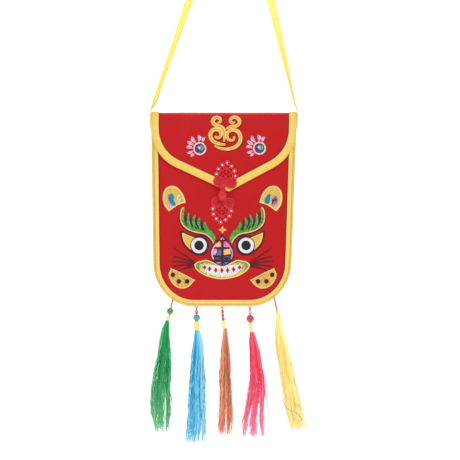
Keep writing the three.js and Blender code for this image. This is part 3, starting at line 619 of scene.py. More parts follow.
PEG_X, PEG_Z, PEG_RADIUS, PEG_LEFT, PEG_RIGHT = peg_place()
RIBBON_DEPTH = fold_middle(HALF)
BAG = Vector((-PEG_X, -RIBBON_DEPTH, -(PEG_Z + BEND_RADIUS)))
print("the top fold's middle lies at", [round(v, 2) for v in BAG])

# %% [markdown]
# ## The two cloths
#
# One cloth is the back, goes over the top as a soft fold, and comes down as the flap. The
# other is the front. Each is satin quilted to wadding, so it shows slow swells rather than
# sharp creases. Where a tape is sewn on, the thread draws the satin up into small puckers
# that fade within a finger's width. The wrinkles go outwards only, so the walls keep their
# thickness.


# %% Cloths
LOWER_EDGE_RUN = 20  # where along the edge's ripples the lower edge starts
FRONT_SWELL, FRONT_PUCKER = 0.9, 0.5
FLAP_SWELL, FLAP_PUCKER, FLAP_FOLD = 0.6, 0.45, 0.4
BACK_SWELL, BACK_PUCKER = 0.8, 0.4


def edge_run(x, z):
    """Length along the pouch's edge, near a place close to it."""
    corner_x, corner_z = past_corner(x, z)
    if corner_x > 0 and corner_z > 0:
        return math.atan2(corner_z, corner_x) * CORNER_RADIUS + POUCH_HEIGHT - CORNER_RADIUS
    return -z if corner_x > 0 else POUCH_HEIGHT + LOWER_EDGE_RUN + x


def puckers(distance, run, reach, seed):
    """Small ripples across a seam, at a distance from it."""
    if distance < -0.5:
        return 0.0
    swing = noise.noise(Vector((run / 7, seed, 0))) + 0.5 * noise.noise(Vector((run / 3, seed, 4)))
    start = smooth(distance, -0.5, 1.5)
    return start * math.exp(-max(distance, 0) / reach) * (0.5 + swing)


def swells(x, z, size, seed):
    return 0.5 + 0.5 * noise.noise(Vector((x / size, seed, z / size)))


def front_relief(x, z):
    """How far the front's satin stands out from the plain wall."""
    bare = smooth(-z - flap_edge(clamp(x, -HALF, HALF)), 0, 16)
    inside = edge_distance(x, z) - BODY_TAPE_WIDTH
    soft = FRONT_SWELL * swells(x, z, 34, 3.1) * smooth(inside, 0, 25)
    drawn = FRONT_PUCKER * puckers(inside, edge_run(x, z), 6, 1.7)
    return max(0.0, bare * (soft + drawn))


def flap_relief(x, z):
    """The same for the flap, with soft upright folds on its left."""
    inside = min(flap_edge(x) + z, HALF - abs(x)) - FLAP_TAPE_WIDTH
    near = smooth(-z, 2, 12)
    upright = noise.noise(Vector((x / 3.4, 8.2, z / 30)))
    left = FLAP_FOLD * (0.5 + upright) * smooth(-x, 14, 34) * smooth(inside, 0, 6)
    soft = FLAP_SWELL * swells(x, z, 28, 6.4) * smooth(inside, 0, 20)
    drawn = FLAP_PUCKER * puckers(inside, x * 1.05, 5, 5.3)
    return max(0.0, near * (soft + left + drawn))


def front_face(x, z):
    return front_inner(x, z) - CLOTH - front_relief(x, z)


def flap_face(x, z):
    """The flap's outer face, raised where its tape lies."""
    bare = smooth(flap_edge(x, FLAP_TAPE_WIDTH) + z, 0, FLAP_TAPE_WIDTH / 2)
    return flap_inner(x, z) - CLOTH - flap_relief(x, z) * bare - lerp(EDGE, 0, bare)


def on_front(x, z, height):
    return Vector((x, front_face(unsettled(x, z), z) - height, z))


def on_flap(x, z, height):
    return Vector((x, flap_face(unsettled(x, z), z) - height, z))


def cloth_columns(count):
    columns = []
    for k in range(count + 1):
        across = math.sin((k / count * 2 - 1) * math.pi / 2)
        columns.append(across * (HALF - EDGE) + TIP_SHIFT * (1 - across ** 2))
    return columns


def wall(heap, outer, inner, runs):
    """Closes two grids of points into one wall. runs has each point's lengths, in metres."""
    columns, rows = len(outer), len(outer[0])
    first = len(heap.points)
    for grid in (outer, inner):
        for column in grid:
            heap.points.extend(column)
    heap.tints.extend([(1, 1, 1, 1)] * (2 * columns * rows))

    def quad(*places):
        corners = [first + (face * columns + c) * rows + r for face, c, r in places]
        heap.faces.append(tuple(corners))
        heap.runs.extend([runs[c][r] for _, c, r in places])

    for c in range(columns - 1):
        for r in range(rows - 1):
            quad((0, c, r), (0, c + 1, r), (0, c + 1, r + 1), (0, c, r + 1))
            quad((1, c, r), (1, c, r + 1), (1, c + 1, r + 1), (1, c + 1, r))
        quad((0, c, 0), (1, c, 0), (1, c + 1, 0), (0, c + 1, 0))
        last = rows - 1
        quad((0, c, last), (0, c + 1, last), (1, c + 1, last), (1, c, last))
    for r in range(rows - 1):
        quad((0, 0, r), (0, 0, r + 1), (1, 0, r + 1), (1, 0, r))
        last = columns - 1
        quad((0, last, r), (1, last, r), (1, last, r + 1), (0, last, r + 1))


def folded_cloth(heap, columns):
    grids = {0.5: [], -0.5: []}
    runs = []
    for x in columns:
        radius = fold_radius(x)
        back_end = body_edge(x, EDGE) - CLOTH / 2
        flap_end = flap_edge(x, EDGE) - CLOTH / 2
        drops = (spaced(-back_end, -radius, 44)[:-1] + spaced(-radius, radius, 14)[:-1]
                 + spaced(radius, flap_end, 40))
        for face, grid in grids.items():
            column = []
            for drop in drops:
                out = CLOTH * face
                if face > 0 and drop > 0:
                    out += flap_relief(x, -drop)
                if face > 0 and drop < 0:
                    inside = edge_distance(x, drop) - BODY_TAPE_WIDTH
                    out += BACK_SWELL * swells(x, drop, 36, 9.6) * smooth(inside, 0, 25)
                    out += max(0.0, BACK_PUCKER * puckers(inside, edge_run(x, drop), 6, 2.9))
                column.append(folded_point(x, drop, out))
            grid.append(column)
        runs.append([(x * MM, drop * MM) for drop in drops])
    wall(heap, grids[0.5], grids[-0.5], runs)


def front_cloth(heap, columns):
    outer, inner, runs = [], [], []
    for x in columns:
        drops = spaced(body_edge(x, EDGE), FRONT_TOP_DROP, 76)
        outer.append([Vector((settle(x, -d), front_face(x, -d), -d)) for d in drops])
        inner.append([Vector((settle(x, -d), front_inner(x, -d), -d)) for d in drops])
        runs.append([(x * MM, -d * MM) for d in drops])
    wall(heap, outer, inner, runs)


def cut_area(columns, height):
    """Flat area of a cut, in square metres."""
    return sum((right - left) * (height(left) + height(right)) / 2
               for left, right in zip(columns, columns[1:])) * MM * MM


COLUMNS = cloth_columns(76)
folded_heap, front_heap = Heap(), Heap()
folded_cloth(folded_heap, COLUMNS)
front_cloth(front_heap, COLUMNS)
back_piece = folded_heap.piece("back_and_flap_cloth", "red_satin", RED_SATIN, ["back_and_flap"])
front_piece = front_heap.piece("front_cloth", "red_satin", RED_SATIN, ["front_panel"])
print("cloth faces:", len(folded_heap.faces) + len(front_heap.faces))

# %% [markdown]
# ## Bias tape
#
# Bias tape is cut across the weave, so it stretches round a corner without folds. It is
# folded over the raw edge and sewn through all layers. In section it is a channel with a
# round back, a little puffed between the edge and the stitch line. The section runs along
# the outline of the pouch and of the flap.


# %% Tapes
def inward_steps(outline):
    """For each point of an outline that runs anticlockwise, one step inwards."""
    steps = []
    for k, point in enumerate(outline):
        ends = [(outline[k - 1], point)] if k else []
        if k + 1 < len(outline):
            ends.append((point, outline[k + 1]))
        normals = [Vector((a[1] - b[1], b[0] - a[0])).normalized() for a, b in ends]
        steps.append((normals[0] + normals[-1]) / (1 + normals[0].dot(normals[-1])))
    return steps


def body_outline():
    straight = [(HALF, drop) for drop in spaced(FRONT_TOP_DROP, POUCH_HEIGHT - CORNER_RADIUS, 60)]
    arc = [(HALF - CORNER_RADIUS + CORNER_RADIUS * math.cos(a),
            POUCH_HEIGHT - CORNER_RADIUS + CORNER_RADIUS * math.sin(a))
           for a in spaced(0, math.pi / 2, 36)]
    side = straight[:-1] + arc
    lower = [(x, POUCH_HEIGHT) for x in spaced(-HALF + CORNER_RADIUS, HALF - CORNER_RADIUS, 28)]
    left = [(-x, drop) for x, drop in side]
    return [(x, -drop) for x, drop in left[:-1] + lower + side[::-1][1:]]


def flap_outline():
    """The flap's edge from behind the left end of the fold, round the tip, to the right one."""
    fold = fold_radius(HALF)
    halves = []
    for side in (-1, 1):
        slope, steep, centre = flap_side(side)
        turn = math.atan2(1 / steep, slope / steep)
        drops = spaced(-FLAP_TAPE_TURN, -fold, 3)[:-1] + spaced(-fold, fold, 14)
        down = [(HALF, drop) for drop in drops]
        arc = [(HALF - FLAP_CORNER * (1 - math.cos(a)),
                centre - CLOTH / 2 + FLAP_CORNER * math.sin(a)) for a in spaced(0, turn, 20)]
        down += [(HALF, drop) for drop in spaced(fold, arc[0][1], 5)[1:-1]]
        tip = (side * TIP_SHIFT, TIP_DROP - CLOTH / 2)
        slant = [(lerp(arc[-1][0], tip[0], k / 40), lerp(arc[-1][1], tip[1], k / 40))
                 for k in range(1, 41)]
        halves.append([(side * x, -drop) for x, drop in down + arc + slant])
    return halves[0] + halves[1][::-1][1:]


def tape_section(width, back):
    """Corners of the section: how far in, how far round from the front (0) to the back (1),
    and how far off the cloth."""
    leg = [(width + 0.1, 0.05), (width, 0.75), (width - 0.6, 1.05), (width * 0.75, 1.22),
           (width * 0.5, 1.25), (width * 0.3, 1.15)]
    front = [(inward, 0.0, off) for inward, off in leg]
    turn = [(back * (1 - math.sin(a)), (1 - math.cos(a)) / 2, EDGE)
            for a in spaced(0, math.pi, 10)]
    rear = [(inward, 1.0, off) for inward, off in leg[::-1]]
    inner = [(TAPE, 1.0, 0.2), (TAPE, 0.0, 0.2)]
    return front + turn + rear + inner


def bind(heap, outline, width, back, place):
    inwards = inward_steps(outline)
    corners = tape_section(width, back)
    rows, along = [], [0.0]
    for k, point in enumerate(outline):
        if k:
            along.append(along[-1] + math.dist(point, outline[k - 1]) * MM)
        ring = []
        for n, (inward, share, off) in enumerate(corners):
            ripple = noise.noise(Vector((along[-1] / MM / 5, n / 3, 7.7)))
            raised = off + (0.1 * ripple if off > 0.6 else 0.0)
            x, z = point[0] + inwards[k][0] * inward, point[1] + inwards[k][1] * inward
            ring.append(place(x, z, share, raised))
        rows.append(ring)
    heap.grid(rows, around=True, along=along, caps=True)


def body_place(x, z, share, off):
    """Between the front's outer face and the back's, share of the way round."""
    front = front_inner(x, z) - CLOTH - off
    back = back_inner(x, z) + CLOTH + off
    return Vector((settle(x, z), lerp(front, back, share), z))


def flap_place(x, z, share, off):
    return folded_point(x, -z, lerp(1, -1, share) * (CLOTH / 2 + off))


# Painted shade: a thin dark cord along each tape's inner edge.
SHADE_LINE_GAP, SHADE_LINE_RADIUS, SHADE_LINE_RED = 0.4, 0.42, linear(120, 8, 12)


def tape_shade_line(heap, outline, width, place):
    """A thin dark cord beside a tape of this width: painted shade along the tape's inner edge."""
    inward = width + SHADE_LINE_GAP
    path = [place(x + step[0] * inward, z + step[1] * inward)
            for (x, z), step in zip(outline, inward_steps(outline))]
    cord(heap, path, SHADE_LINE_RADIUS, SHADE_LINE_RED, pitch=2.0, sides=6)


body_heap, flap_heap, line_heap = Heap(), Heap(), Heap()
tape_shade_line(line_heap, body_outline(), BODY_TAPE_WIDTH,
          lambda x, z: Vector((settle(x, z), front_face(x, z) - 0.1, z)))
tape_shade_line(line_heap, [(x, z) for x, z in flap_outline() if z < -fold_radius(HALF)],
          FLAP_TAPE_WIDTH, lambda x, z: folded_point(x, -z, CLOTH / 2 + 0.2))
line_heap.piece("tape_shade_lines", "violet_thread", CORD)
bind(body_heap, body_outline(), BODY_TAPE_WIDTH, 2.6, body_place)
bind(flap_heap, flap_outline(), FLAP_TAPE_WIDTH, 1.9, flap_place)
body_tape = body_heap.piece("body_binding", "yellow_tape", TAPE_SATIN, ["body_tape"])
flap_tape = flap_heap.piece("flap_binding", "yellow_tape", TAPE_SATIN, ["flap_tape"])

# The cut: full width, and from the back's lower edge over the fold to the flap's tip.
(body_edge(0, EDGE) + flap_edge(TIP_SHIFT, EDGE)) * MM
cut_area(COLUMNS, lambda x: body_edge(x, EDGE) + flap_edge(x, EDGE))
(body_edge(0, EDGE) - FRONT_TOP_DROP) * MM
cut_area(COLUMNS, lambda x: body_edge(x, EDGE) - FRONT_TOP_DROP)
print("tape faces:", len(body_heap.faces) + len(flap_heap.faces))

# %% [markdown]
# ## Ribbon
#
# The ribbon is sewn flat along both upper corners, edge on to the camera, and each strand
# turns to face the front as it rises. Both go over a peg that the purse hangs on, outside the
# picture. The section is a thin lens, because a satin ribbon is thinnest at its woven edges.

# %% Ribbon
# up is a share of the height at which the strands would cross, turn is in degrees.
TWISTS = {
    -1: [(0, 90), (0.047, 55), (0.243, 49), (0.438, 30), (0.87, 90)],
    1: [(0, 90), (0.035, 78), (0.125, 65), (0.243, 45), (0.438, 20), (0.87, 90)],
}


def twist_at(rows, up):
    for (low, start), (high, end) in zip(rows, rows[1:]):
        if up <= high:
            return lerp(start, end, (up - low) / (high - low))
    return rows[-1][1]


def ribbon_strand(side, angle):
    """Points (x, z, turn) from the sewn tab up to the bend."""
    top = (PEG_Z + PEG_RADIUS * math.sin(angle)) / RIBBON_RISE
    outside = HALF + CLEARANCE + RIBBON_THICKNESS / 2
    tab = [(settle(side * outside, z), z, 90) for z in spaced(-RIBBON_TAB, TAPE * 2, 6)]
    free = [(lerp(side * HALF, RIBBON_CROSSING, up), up * RIBBON_RISE,
             twist_at(TWISTS[side], up)) for up in spaced(RIBBON_FREE / RIBBON_RISE, top, 90)]
    return tab + free


def ribbon(heap):
    bend = [(PEG_X + PEG_RADIUS * math.cos(a), PEG_Z + PEG_RADIUS * math.sin(a), 90)
            for a in spaced(math.pi - PEG_LEFT, PEG_RIGHT, 24)[1:-1]]
    path = ribbon_strand(-1, PEG_LEFT) + bend + ribbon_strand(1, PEG_RIGHT)[::-1]
    lens = [(s, math.sqrt(max(1 - s ** 4, 0))) for s in spaced(-1, 1, 8)]
    section = lens + [(s, -t) for s, t in lens[1:-1][::-1]]
    rows, along = [], [0.0]
    for k, (x, z, turn) in enumerate(path):
        before, after = path[max(k - 1, 0)], path[min(k + 1, len(path) - 1)]
        tangent = Vector((after[0] - before[0], 0, after[1] - before[1])).normalized()
        wide = Vector((tangent.z, 0, -tangent.x)) * math.cos(math.radians(turn))
        wide.y += math.sin(math.radians(turn))
        thick = tangent.cross(wide)
        if k:
            along.append(along[-1] + math.dist(path[k - 1][:2], (x, z)) * MM)
        centre = Vector((x, RIBBON_DEPTH, z))
        rows.append([centre + wide * (a * RIBBON_WIDTH / 2) + thick * (b * RIBBON_THICKNESS / 2)
                     for a, b in section])
    heap.grid(rows, around=True, along=along, caps=True)


ribbon_heap = Heap()
ribbon(ribbon_heap)
ribbon_heap.piece("ribbon_loop", "yellow_ribbon", RIBBON_SATIN, ["ribbon_strap"])
print("ribbon faces:", len(ribbon_heap.faces))

# %% [markdown]
# ## Cord fastener
#
# A knotted fastener is one long satin cord, coiled, looped and sewn down. Each half has two
# snail coils, a ring for each stone, and loops that cross between them. The button is a round
# knot, a turk's head drawn tight, and the loop from the upper half goes round its neck. Each
# part of the cord is laid as a path on the cloth, with a height for where it passes over.

# %% Fastener
FASTENER_DROP, FASTENER_TILT, FASTENER_REACH = 80.0, 6.4, 29.9
CORD_RADIUS = 0.68
COIL_RADIUS, COIL_OFFSET, COIL_SPACING = 5.9, 10.3, 11.9
PETAL_RADIUS, ARCH_WIDTH, ARCH_HEIGHT = 1.95, 9.3, 12.5
BUTTON_DROP, BUTTON_SHIFT = 3.0, -1.2
BUTTON_WIDTH, BUTTON_HEIGHT, BUTTON_DEPTH = 9.0, 11.5, 6.0
LOOP_STEPS = 22
PETALS = [(0, 0), (-0.49, 0.24), (0.49, 0.24), (-0.86, 0.58), (0.86, 0.58), (-1, 1), (1, 1)]
CORD_RED, CORD_DARK = linear(222, 44, 52), linear(176, 14, 24)
KNOT_RED, PETAL_RED = linear(224, 44, 50), linear(232, 70, 78)


def fastener_point(across, along):
    tilt = math.radians(FASTENER_TILT)
    return Vector((across * math.cos(tilt) + along * math.sin(tilt),
                   -across * math.sin(tilt) + along * math.cos(tilt) - FASTENER_DROP))


def petal_point(petal, half):
    return fastener_point(petal[0] * ARCH_WIDTH,
                          half * (FASTENER_REACH - petal[1] * ARCH_HEIGHT))


def coil_point(side, half):
    return fastener_point(side * COIL_SPACING / 2, half * COIL_OFFSET)


def laid_cord(heap, flat, place, heights, radius=CORD_RADIUS, tint=CORD_RED):
    """A cord along flat points, at heights above the cloth that are one number or one for
    each point."""
    rise = heights if isinstance(heights, list) else [heights] * len(flat)
    path = [place(x, z, h) for (x, z), h in zip(flat, rise)]
    cord(heap, path, radius, tint, pitch=2.4)


def snail(centre, side):
    """A flat coil from its middle out, which rises towards the middle and ends in a full turn
    along its rim."""
    turns, rim = 4.0, 0.76
    count = 170
    flat, heights = [], []
    for k in range(count + 1):
        share = k / count
        out = lerp(0.4, COIL_RADIUS - CORD_RADIUS, min(1.0, share / rim))
        at = side * turns * TURN * share + 0.6
        flat.append((centre.x + out * math.cos(at), centre.y + out * math.sin(at)))
        heights.append(CORD_RADIUS + 0.9 * (1 - (out / COIL_RADIUS) ** 2))
    return flat, heights


def crossing(start, end, over):
    """A straight run from one place to another that passes over or under in the middle."""
    shares = spaced(0, 1, 16)
    return ([start.lerp(end, share) for share in shares],
            [CORD_RADIUS + over * math.sin(math.pi * share) ** 2 for share in shares])


def fastener_half(heap, half, place):
    petals = [petal_point(petal, half) for petal in PETALS]
    coils = [coil_point(side, half) for side in (-1, 1)]
    middle = fastener_point(0, half * COIL_OFFSET)
    for side, centre in zip((-1, 1), coils):
        flat, heights = snail(centre, side * half)
        # Painted shade: a wider, darker cord set lower under each coil shows between its turns.
        laid_cord(heap, flat, place, [h - 0.35 for h in heights], CORD_RADIUS * 1.25, CORD_DARK)
        laid_cord(heap, flat, place, heights)
    for centre in petals:
        petal_ring = circle(centre, PETAL_RADIUS, LOOP_STEPS, True)
        laid_cord(heap, petal_ring, place, CORD_RADIUS, tint=PETAL_RED)
    # The arch inside the petals is filled by bows of cord, one inside the other.
    order = [5, 3, 1, 0, 2, 4, 6]
    foot = fastener_point(0, half * (COIL_OFFSET + 2.5))
    for n, share in enumerate((0.72, 0.46, 0.2)):
        bow = [foot.lerp(petals[k], share) for k in order]
        laid_cord(heap, curved(bow), place, 0.5 + 0.12 * n)
    runs = [(petals[1], petals[6]), (petals[2], petals[5]), (petals[3], coils[1]),
            (petals[4], coils[0]), (petals[0], middle), (petals[5], middle),
            (petals[6], middle)]
    for k, (start, end) in enumerate(runs):
        way = (end - start).normalized() * PETAL_RADIUS
        flat, heights = crossing(start + way, end - way * 0.6, 1.7 if k % 2 else 1.3)
        laid_cord(heap, flat, place, heights, CORD_RADIUS * 0.8, KNOT_RED)
    outside = [petals[k] + (petals[k] - middle).normalized() * (PETAL_RADIUS * 0.55)
               for k in order]
    laid_cord(heap, curved(outside, 8), place, 0.45, CORD_RADIUS * 0.7, CORD_DARK)


PEAR, CORE_SHARE = 0.22, 1.06  # how much the knot narrows upwards, and its core's width
BUTTON = fastener_point(BUTTON_SHIFT, -BUTTON_DROP)
BUTTON_Y = flap_face(TIP_SHIFT, -TIP_DROP) - CLEARANCE - BUTTON_DEPTH / 2


def button_knot(heap):
    """A pear-shaped turk's head over a full core."""
    centre = Vector((BUTTON.x, BUTTON_Y, BUTTON.y))
    ply = 1.02
    size = Vector((BUTTON_WIDTH / 2 - ply, BUTTON_DEPTH / 2 - ply * 0.8, BUTTON_HEIGHT / 2 - ply))
    path = []
    for t in spaced(0, TURN, 240):
        up = 0.93 * math.sin(4 * t)
        out = math.sqrt(1 - up * up) * (1 - PEAR * up) * (1 + 0.07 * math.sin(12 * t))
        path.append(centre + Vector((out * math.cos(3 * t) * size.x,
                                     out * math.sin(3 * t) * size.y, up * size.z)))
    cord(heap, path, ply, KNOT_RED, pitch=3.4)
    rows = []
    for tilt in spaced(-math.pi / 2 + 0.05, math.pi / 2 - 0.05, 10):
        wide = CORE_SHARE * math.cos(tilt) * (1 - PEAR * math.sin(tilt))
        rows.append([centre + Vector((wide * math.cos(a) * size.x, wide * math.sin(a) * size.y,
                                      math.sin(tilt) * size.z))
                     for a in spaced(0, TURN, 20)[:-1]])
    heap.grid(rows, CORD_RED, around=True, caps=True)
    foot = fastener_point(BUTTON_SHIFT, -BUTTON_DROP - 1.2)
    seat = front_face(unsettled(foot.x, foot.y), foot.y)
    shank = [Vector((foot.x, y, foot.y)) for y in spaced(BUTTON_Y, seat, 8)]
    cord(heap, shank, 1.1, CORD_DARK, pitch=2.4)


upper_heap, lower_heap, knot_heap = Heap(), Heap(), Heap()
fastener_half(upper_heap, 1, on_flap)
fastener_half(lower_heap, -1, on_front)
# Four cords run from between the upper coils down to the button's neck.
neck = fastener_point(BUTTON_SHIFT, BUTTON_HEIGHT / 2 - BUTTON_DROP - 0.6)
for n in range(-2, 2):
    start = fastener_point(n * 1.1, COIL_OFFSET - 1.5)
    end = neck + fastener_point(n * 1.2, 0) - fastener_point(0, 0)
    flat = [start.lerp(end, share) for share in spaced(0, 1, 12)]
    heights = [height + 0.15 * (n % 2) for height in spaced(1.0, 1.9, 12)]
    laid_cord(upper_heap, flat, on_flap, heights)
foot_ring = circle(fastener_point(BUTTON_SHIFT, -BUTTON_DROP - 1.2), 2.7, LOOP_STEPS, True)
laid_cord(lower_heap, foot_ring, on_front, CORD_RADIUS)
button_knot(knot_heap)
upper_heap.piece("upper_fastener_cord", "red_cord", CORD, ["fastener_upper"])
lower_heap.piece("lower_fastener_cord", "red_cord", CORD, ["fastener_lower"])
knot_heap.piece("knotted_button", "red_cord", CORD, ["button_knot"])
for half in ("upper", "lower"):
    for k in range(len(PETALS)):
        bpy.data.objects[f"stone_{half}_{k + 1}"].data.materials.clear()
        bpy.data.objects[f"stone_{half}_{k + 1}"].data.materials.append(CUT_STONE)
print("fastener faces:", sum(len(h.faces) for h in (upper_heap, lower_heap, knot_heap)))

# %% [markdown]
# ## Stitches
#
# The embroidery is done by machine in silky thread. A shape is filled with rows of straight
# stitches, close together and a little proud because the thread below pads them. A border is
# a satin column, short stitches square to the line. A thin outline is a stem stitch, each
# stitch starting beside the last. A stitch is modelled as a low arch that dives into the
# cloth at both ends, so it catches light the way thread does.


# %% Stitches
DRAWN_LEFT, DRAWN_TOP = 224.0, 112.5  # the fold's middle, as read from a 460 mm square drawing
MASK_MIDDLE = 222.6
THREAD_WIDTH = 0.48
ROW = 0.42


def drawn(points, flip=False):
    """Places read across and down the drawing, as flat points of the pouch."""
    return [Vector(((2 * MASK_MIDDLE - a if flip else a) - DRAWN_LEFT, DRAWN_TOP - d))
            for a, d in points]


def dyes(**colours):
    return {name: linear(*colour) for name, colour in colours.items()}


DYES = dyes(
    gold=(224, 184, 88), pale_gold=(246, 214, 124), olive_gold=(210, 182, 80),
    amber=(250, 186, 100), apricot=(255, 206, 134), ochre=(206, 132, 52), green=(74, 142, 58),
    leaf=(108, 180, 82), sage=(138, 158, 104), moss=(36, 44, 12), white=(228, 223, 228),
    ivory=(206, 214, 188), black=(20, 22, 24), maroon=(84, 6, 16), umber=(164, 34, 34),
    brown=(70, 38, 14), blue=(16, 134, 186), navy=(40, 40, 92), teal=(20, 124, 140),
    mint=(110, 196, 160), violet=(122, 78, 156), lilac=(206, 146, 196), pink=(236, 110, 164),
    rose=(250, 186, 198), peach=(240, 178, 118), red=(184, 16, 38), plum=(84, 20, 66),
)


def shaded(colour, rng, spread=0.09):
    light = 1 + rng.uniform(-spread, spread)
    return (colour[0] * light, colour[1] * light, colour[2] * light, 1.0)


def one_of(dye, rng):
    """The name of a dye, from a name or from several that take turns."""
    return dye if isinstance(dye, str) else dye[rng.randrange(len(dye))]


def gap_to(outline):
    """A function for the distance from a point to an outline."""
    ends = list(zip(outline, outline[1:] + outline[:1]))
    legs = [(a.x, a.y, b.x - a.x, b.y - a.y, max((b - a).length_squared, 1e-9)) for a, b in ends]

    def gap(point):
        least = 1e9
        for ax, ay, dx, dy, square in legs:
            px, py = point.x - ax, point.y - ay
            share = (px * dx + py * dy) / square
            share = 0.0 if share < 0 else 1.0 if share > 1 else share
            least = min(least, (px - dx * share) ** 2 + (py - dy * share) ** 2)
        return math.sqrt(least)

    return gap


def stitch(heap, start, end, place, height, colour, width=THREAD_WIDTH):
    """One thread from start to end. height gives the cloth's padding at a flat point."""
    way = end - start
    length = way.length
    if length < 0.25:
        return
    side = Vector((-way.y, way.x)) * (width / 2 / length)
    dip = min(0.3, 0.25 * length) / length
    shares = [0.0, dip] + spaced(dip, 1 - dip, max(1, round(length / 2.6)))[1:] + [1.0]
    rows = []
    for n, share in enumerate(shares):
        point = start + way * share
        at_end = n in (0, len(shares) - 1)
        base = height(point)
        narrow = 0.45 if at_end else 1.0
        low, crown = (base - 0.22, base - 0.16) if at_end else (base - 0.04, base + 0.14)
        rows.append([place(point.x + side.x * narrow, point.y + side.y * narrow, low),
                     place(point.x, point.y, crown),
                     place(point.x - side.x * narrow, point.y - side.y * narrow, low)])
    heap.grid(rows, colour)


def spans(outline, angle, spacing):
    """Rows across an outline, tilted by an angle, each a list of (start, end)."""
    c, s = math.cos(angle), math.sin(angle)
    flat = [(p.x * c + p.y * s, -p.x * s + p.y * c) for p in outline]
    legs = list(zip(flat, flat[1:] + flat[:1]))
    level = min(v for _, v in flat) + spacing / 2
    while level < max(v for _, v in flat):
        cuts = sorted(a[0] + (b[0] - a[0]) * (level - a[1]) / (b[1] - a[1])
                      for a, b in legs if (a[1] - level) * (b[1] - level) < 0)
        yield [tuple(Vector((u * c - level * s, u * s + level * c)) for u in pair)
               for pair in zip(cuts[::2], cuts[1::2])]
        level += spacing


def fill(heap, outline, degrees, dye, place, base=0.15, pad=0.45, longest=4.2, seed=1):
    """Fills an outline with rows of stitches. dye is a name, several names that take turns,
    or a function that gives the names for a place."""
    rng = random.Random(seed)
    gap = gap_to(outline)

    def height(point):
        return base + pad * math.sqrt(min(1.0, gap(point) / 1.3))

    for n, row in enumerate(spans(outline, math.radians(degrees), ROW)):
        for start, end in row:
            length = (end - start).length
            cuts = [0.0, 1.0]
            if length > longest * 1.4:
                step = longest / length
                shift = (n * 0.37 % 1) * step
                inner = [c + shift for c in spaced(0, 1, math.floor(1 / step))]
                cuts = [0.0] + [c for c in inner if 0.12 < c < 0.9] + [1.0]
            for low, high in zip(cuts, cuts[1:]):
                names = dye(start.lerp(end, (low + high) / 2)) if callable(dye) else dye
                name = one_of(names, rng)
                stitch(heap, start.lerp(end, low), start.lerp(end, high), place, height,
                       shaded(DYES[name], rng))


def wide_at(width, k, line):
    """The width at a line's point k, from a number or a function of the share along."""
    return width(k / (len(line) - 1)) if callable(width) else width


def border(heap, path, width, dye, place, base=0.35, closed=False, seed=2):
    """A satin column along a path. width is a number, or a function of the share along. dye
    is a name, or several names that take turns."""
    rng = random.Random(seed)
    line = resampled(path + path[:1] if closed else path, ROW)
    for k, point in enumerate(line):
        before, after = line[max(k - 1, 0)], line[min(k + 1, len(line) - 1)]
        way = (after - before).normalized()
        across = Vector((-way.y, way.x)) * (wide_at(width, k, line) / 2)
        name = one_of(dye, rng)
        stitch(heap, point - across, point + across, place,
               lambda p: base, shaded(DYES[name], rng), THREAD_WIDTH * 1.05)


def stem(heap, path, width, dye, place, base=0.4, seed=3):
    """A thin line of slanting stitches along a path."""
    rng = random.Random(seed)
    line = resampled(path, 1.0)
    for k in range(len(line) - 1):
        wide = wide_at(width, k, line)
        end = line[min(k + 2, len(line) - 1)]
        way = (end - line[k]).normalized()
        off = Vector((-way.y, way.x)) * (wide * 0.12 * (1 if k % 2 else -1))
        stitch(heap, line[k] - off, end + off * 0.5, place, lambda p: base,
               shaded(DYES[dye], rng, 0.05), wide)


def rounded(points, steps=5):
    """A closed smooth outline. A point that comes twice stays a sharp corner."""
    return curved(points, steps, closed=True)


def inset(outline, middle, by):
    """The outline moved towards its middle, or away from it where by is negative."""
    return [p + (middle - p).normalized() * by for p in outline]


print("stitches ready, dyes:", len(DYES))

# %% [markdown]
# ## The tiger mask
#
# The mask is a folk pattern that is meant to guard a child. Gold ears hold bright leaves, and
# green brows end in flames. Each is drawn once, for the left, and mirrored for the right. Every
# shape is a fill with a border or a dark outline over its edge. A point that comes twice in an
# outline is a sharp corner.

# %% Ears and brows
EAR = [(168.7, 211.0), (168.7, 211.0), (165.2, 206.6), (163.3, 202.0), (162.8, 197.0),
       (163.6, 191.8), (166.6, 187.6), (171.0, 185.8), (175.6, 186.6), (179.4, 189.4),
       (182.6, 193.8), (184.4, 198.0), (185.6, 202.4), (185.6, 202.4), (181.6, 203.4),
       (176.8, 205.6), (172.2, 208.6)]
EAR_BLUE = [(168.2, 199.0), (168.4, 195.4), (171.6, 193.2), (174.0, 196.0), (173.8, 200.4),
            (175.8, 204.0), (174.0, 206.2), (170.8, 204.2)]
EAR_PINK = [(167.6, 201.0), (169.4, 203.4), (171.8, 206.4), (169.6, 208.8), (167.8, 205.6)]
EAR_LEMON = [(177.0, 196.0), (179.4, 194.4), (181.4, 199.0), (179.0, 202.4), (176.6, 201.0)]
EAR_TEAL = [(264.4, 202.8), (265.6, 197.4), (269.8, 193.6), (270.2, 199.4), (268.6, 204.0)]
EAR_PLUM = [(271.4, 204.6), (272.8, 198.4), (275.4, 195.2), (278.0, 199.6), (276.8, 203.8),
            (274.0, 207.2)]
BROW_FOOT = [(184.2, 206.8), (181.5, 209.4), (180.3, 213.5), (180.1, 218.0), (181.1, 222.8),
             (183.6, 226.6), (187.8, 229.8), (192.9, 232.0), (197.4, 233.1), (202.1, 233.8),
             (205.6, 235.0), (209.1, 237.6), (211.7, 240.5), (213.0, 243.6)]
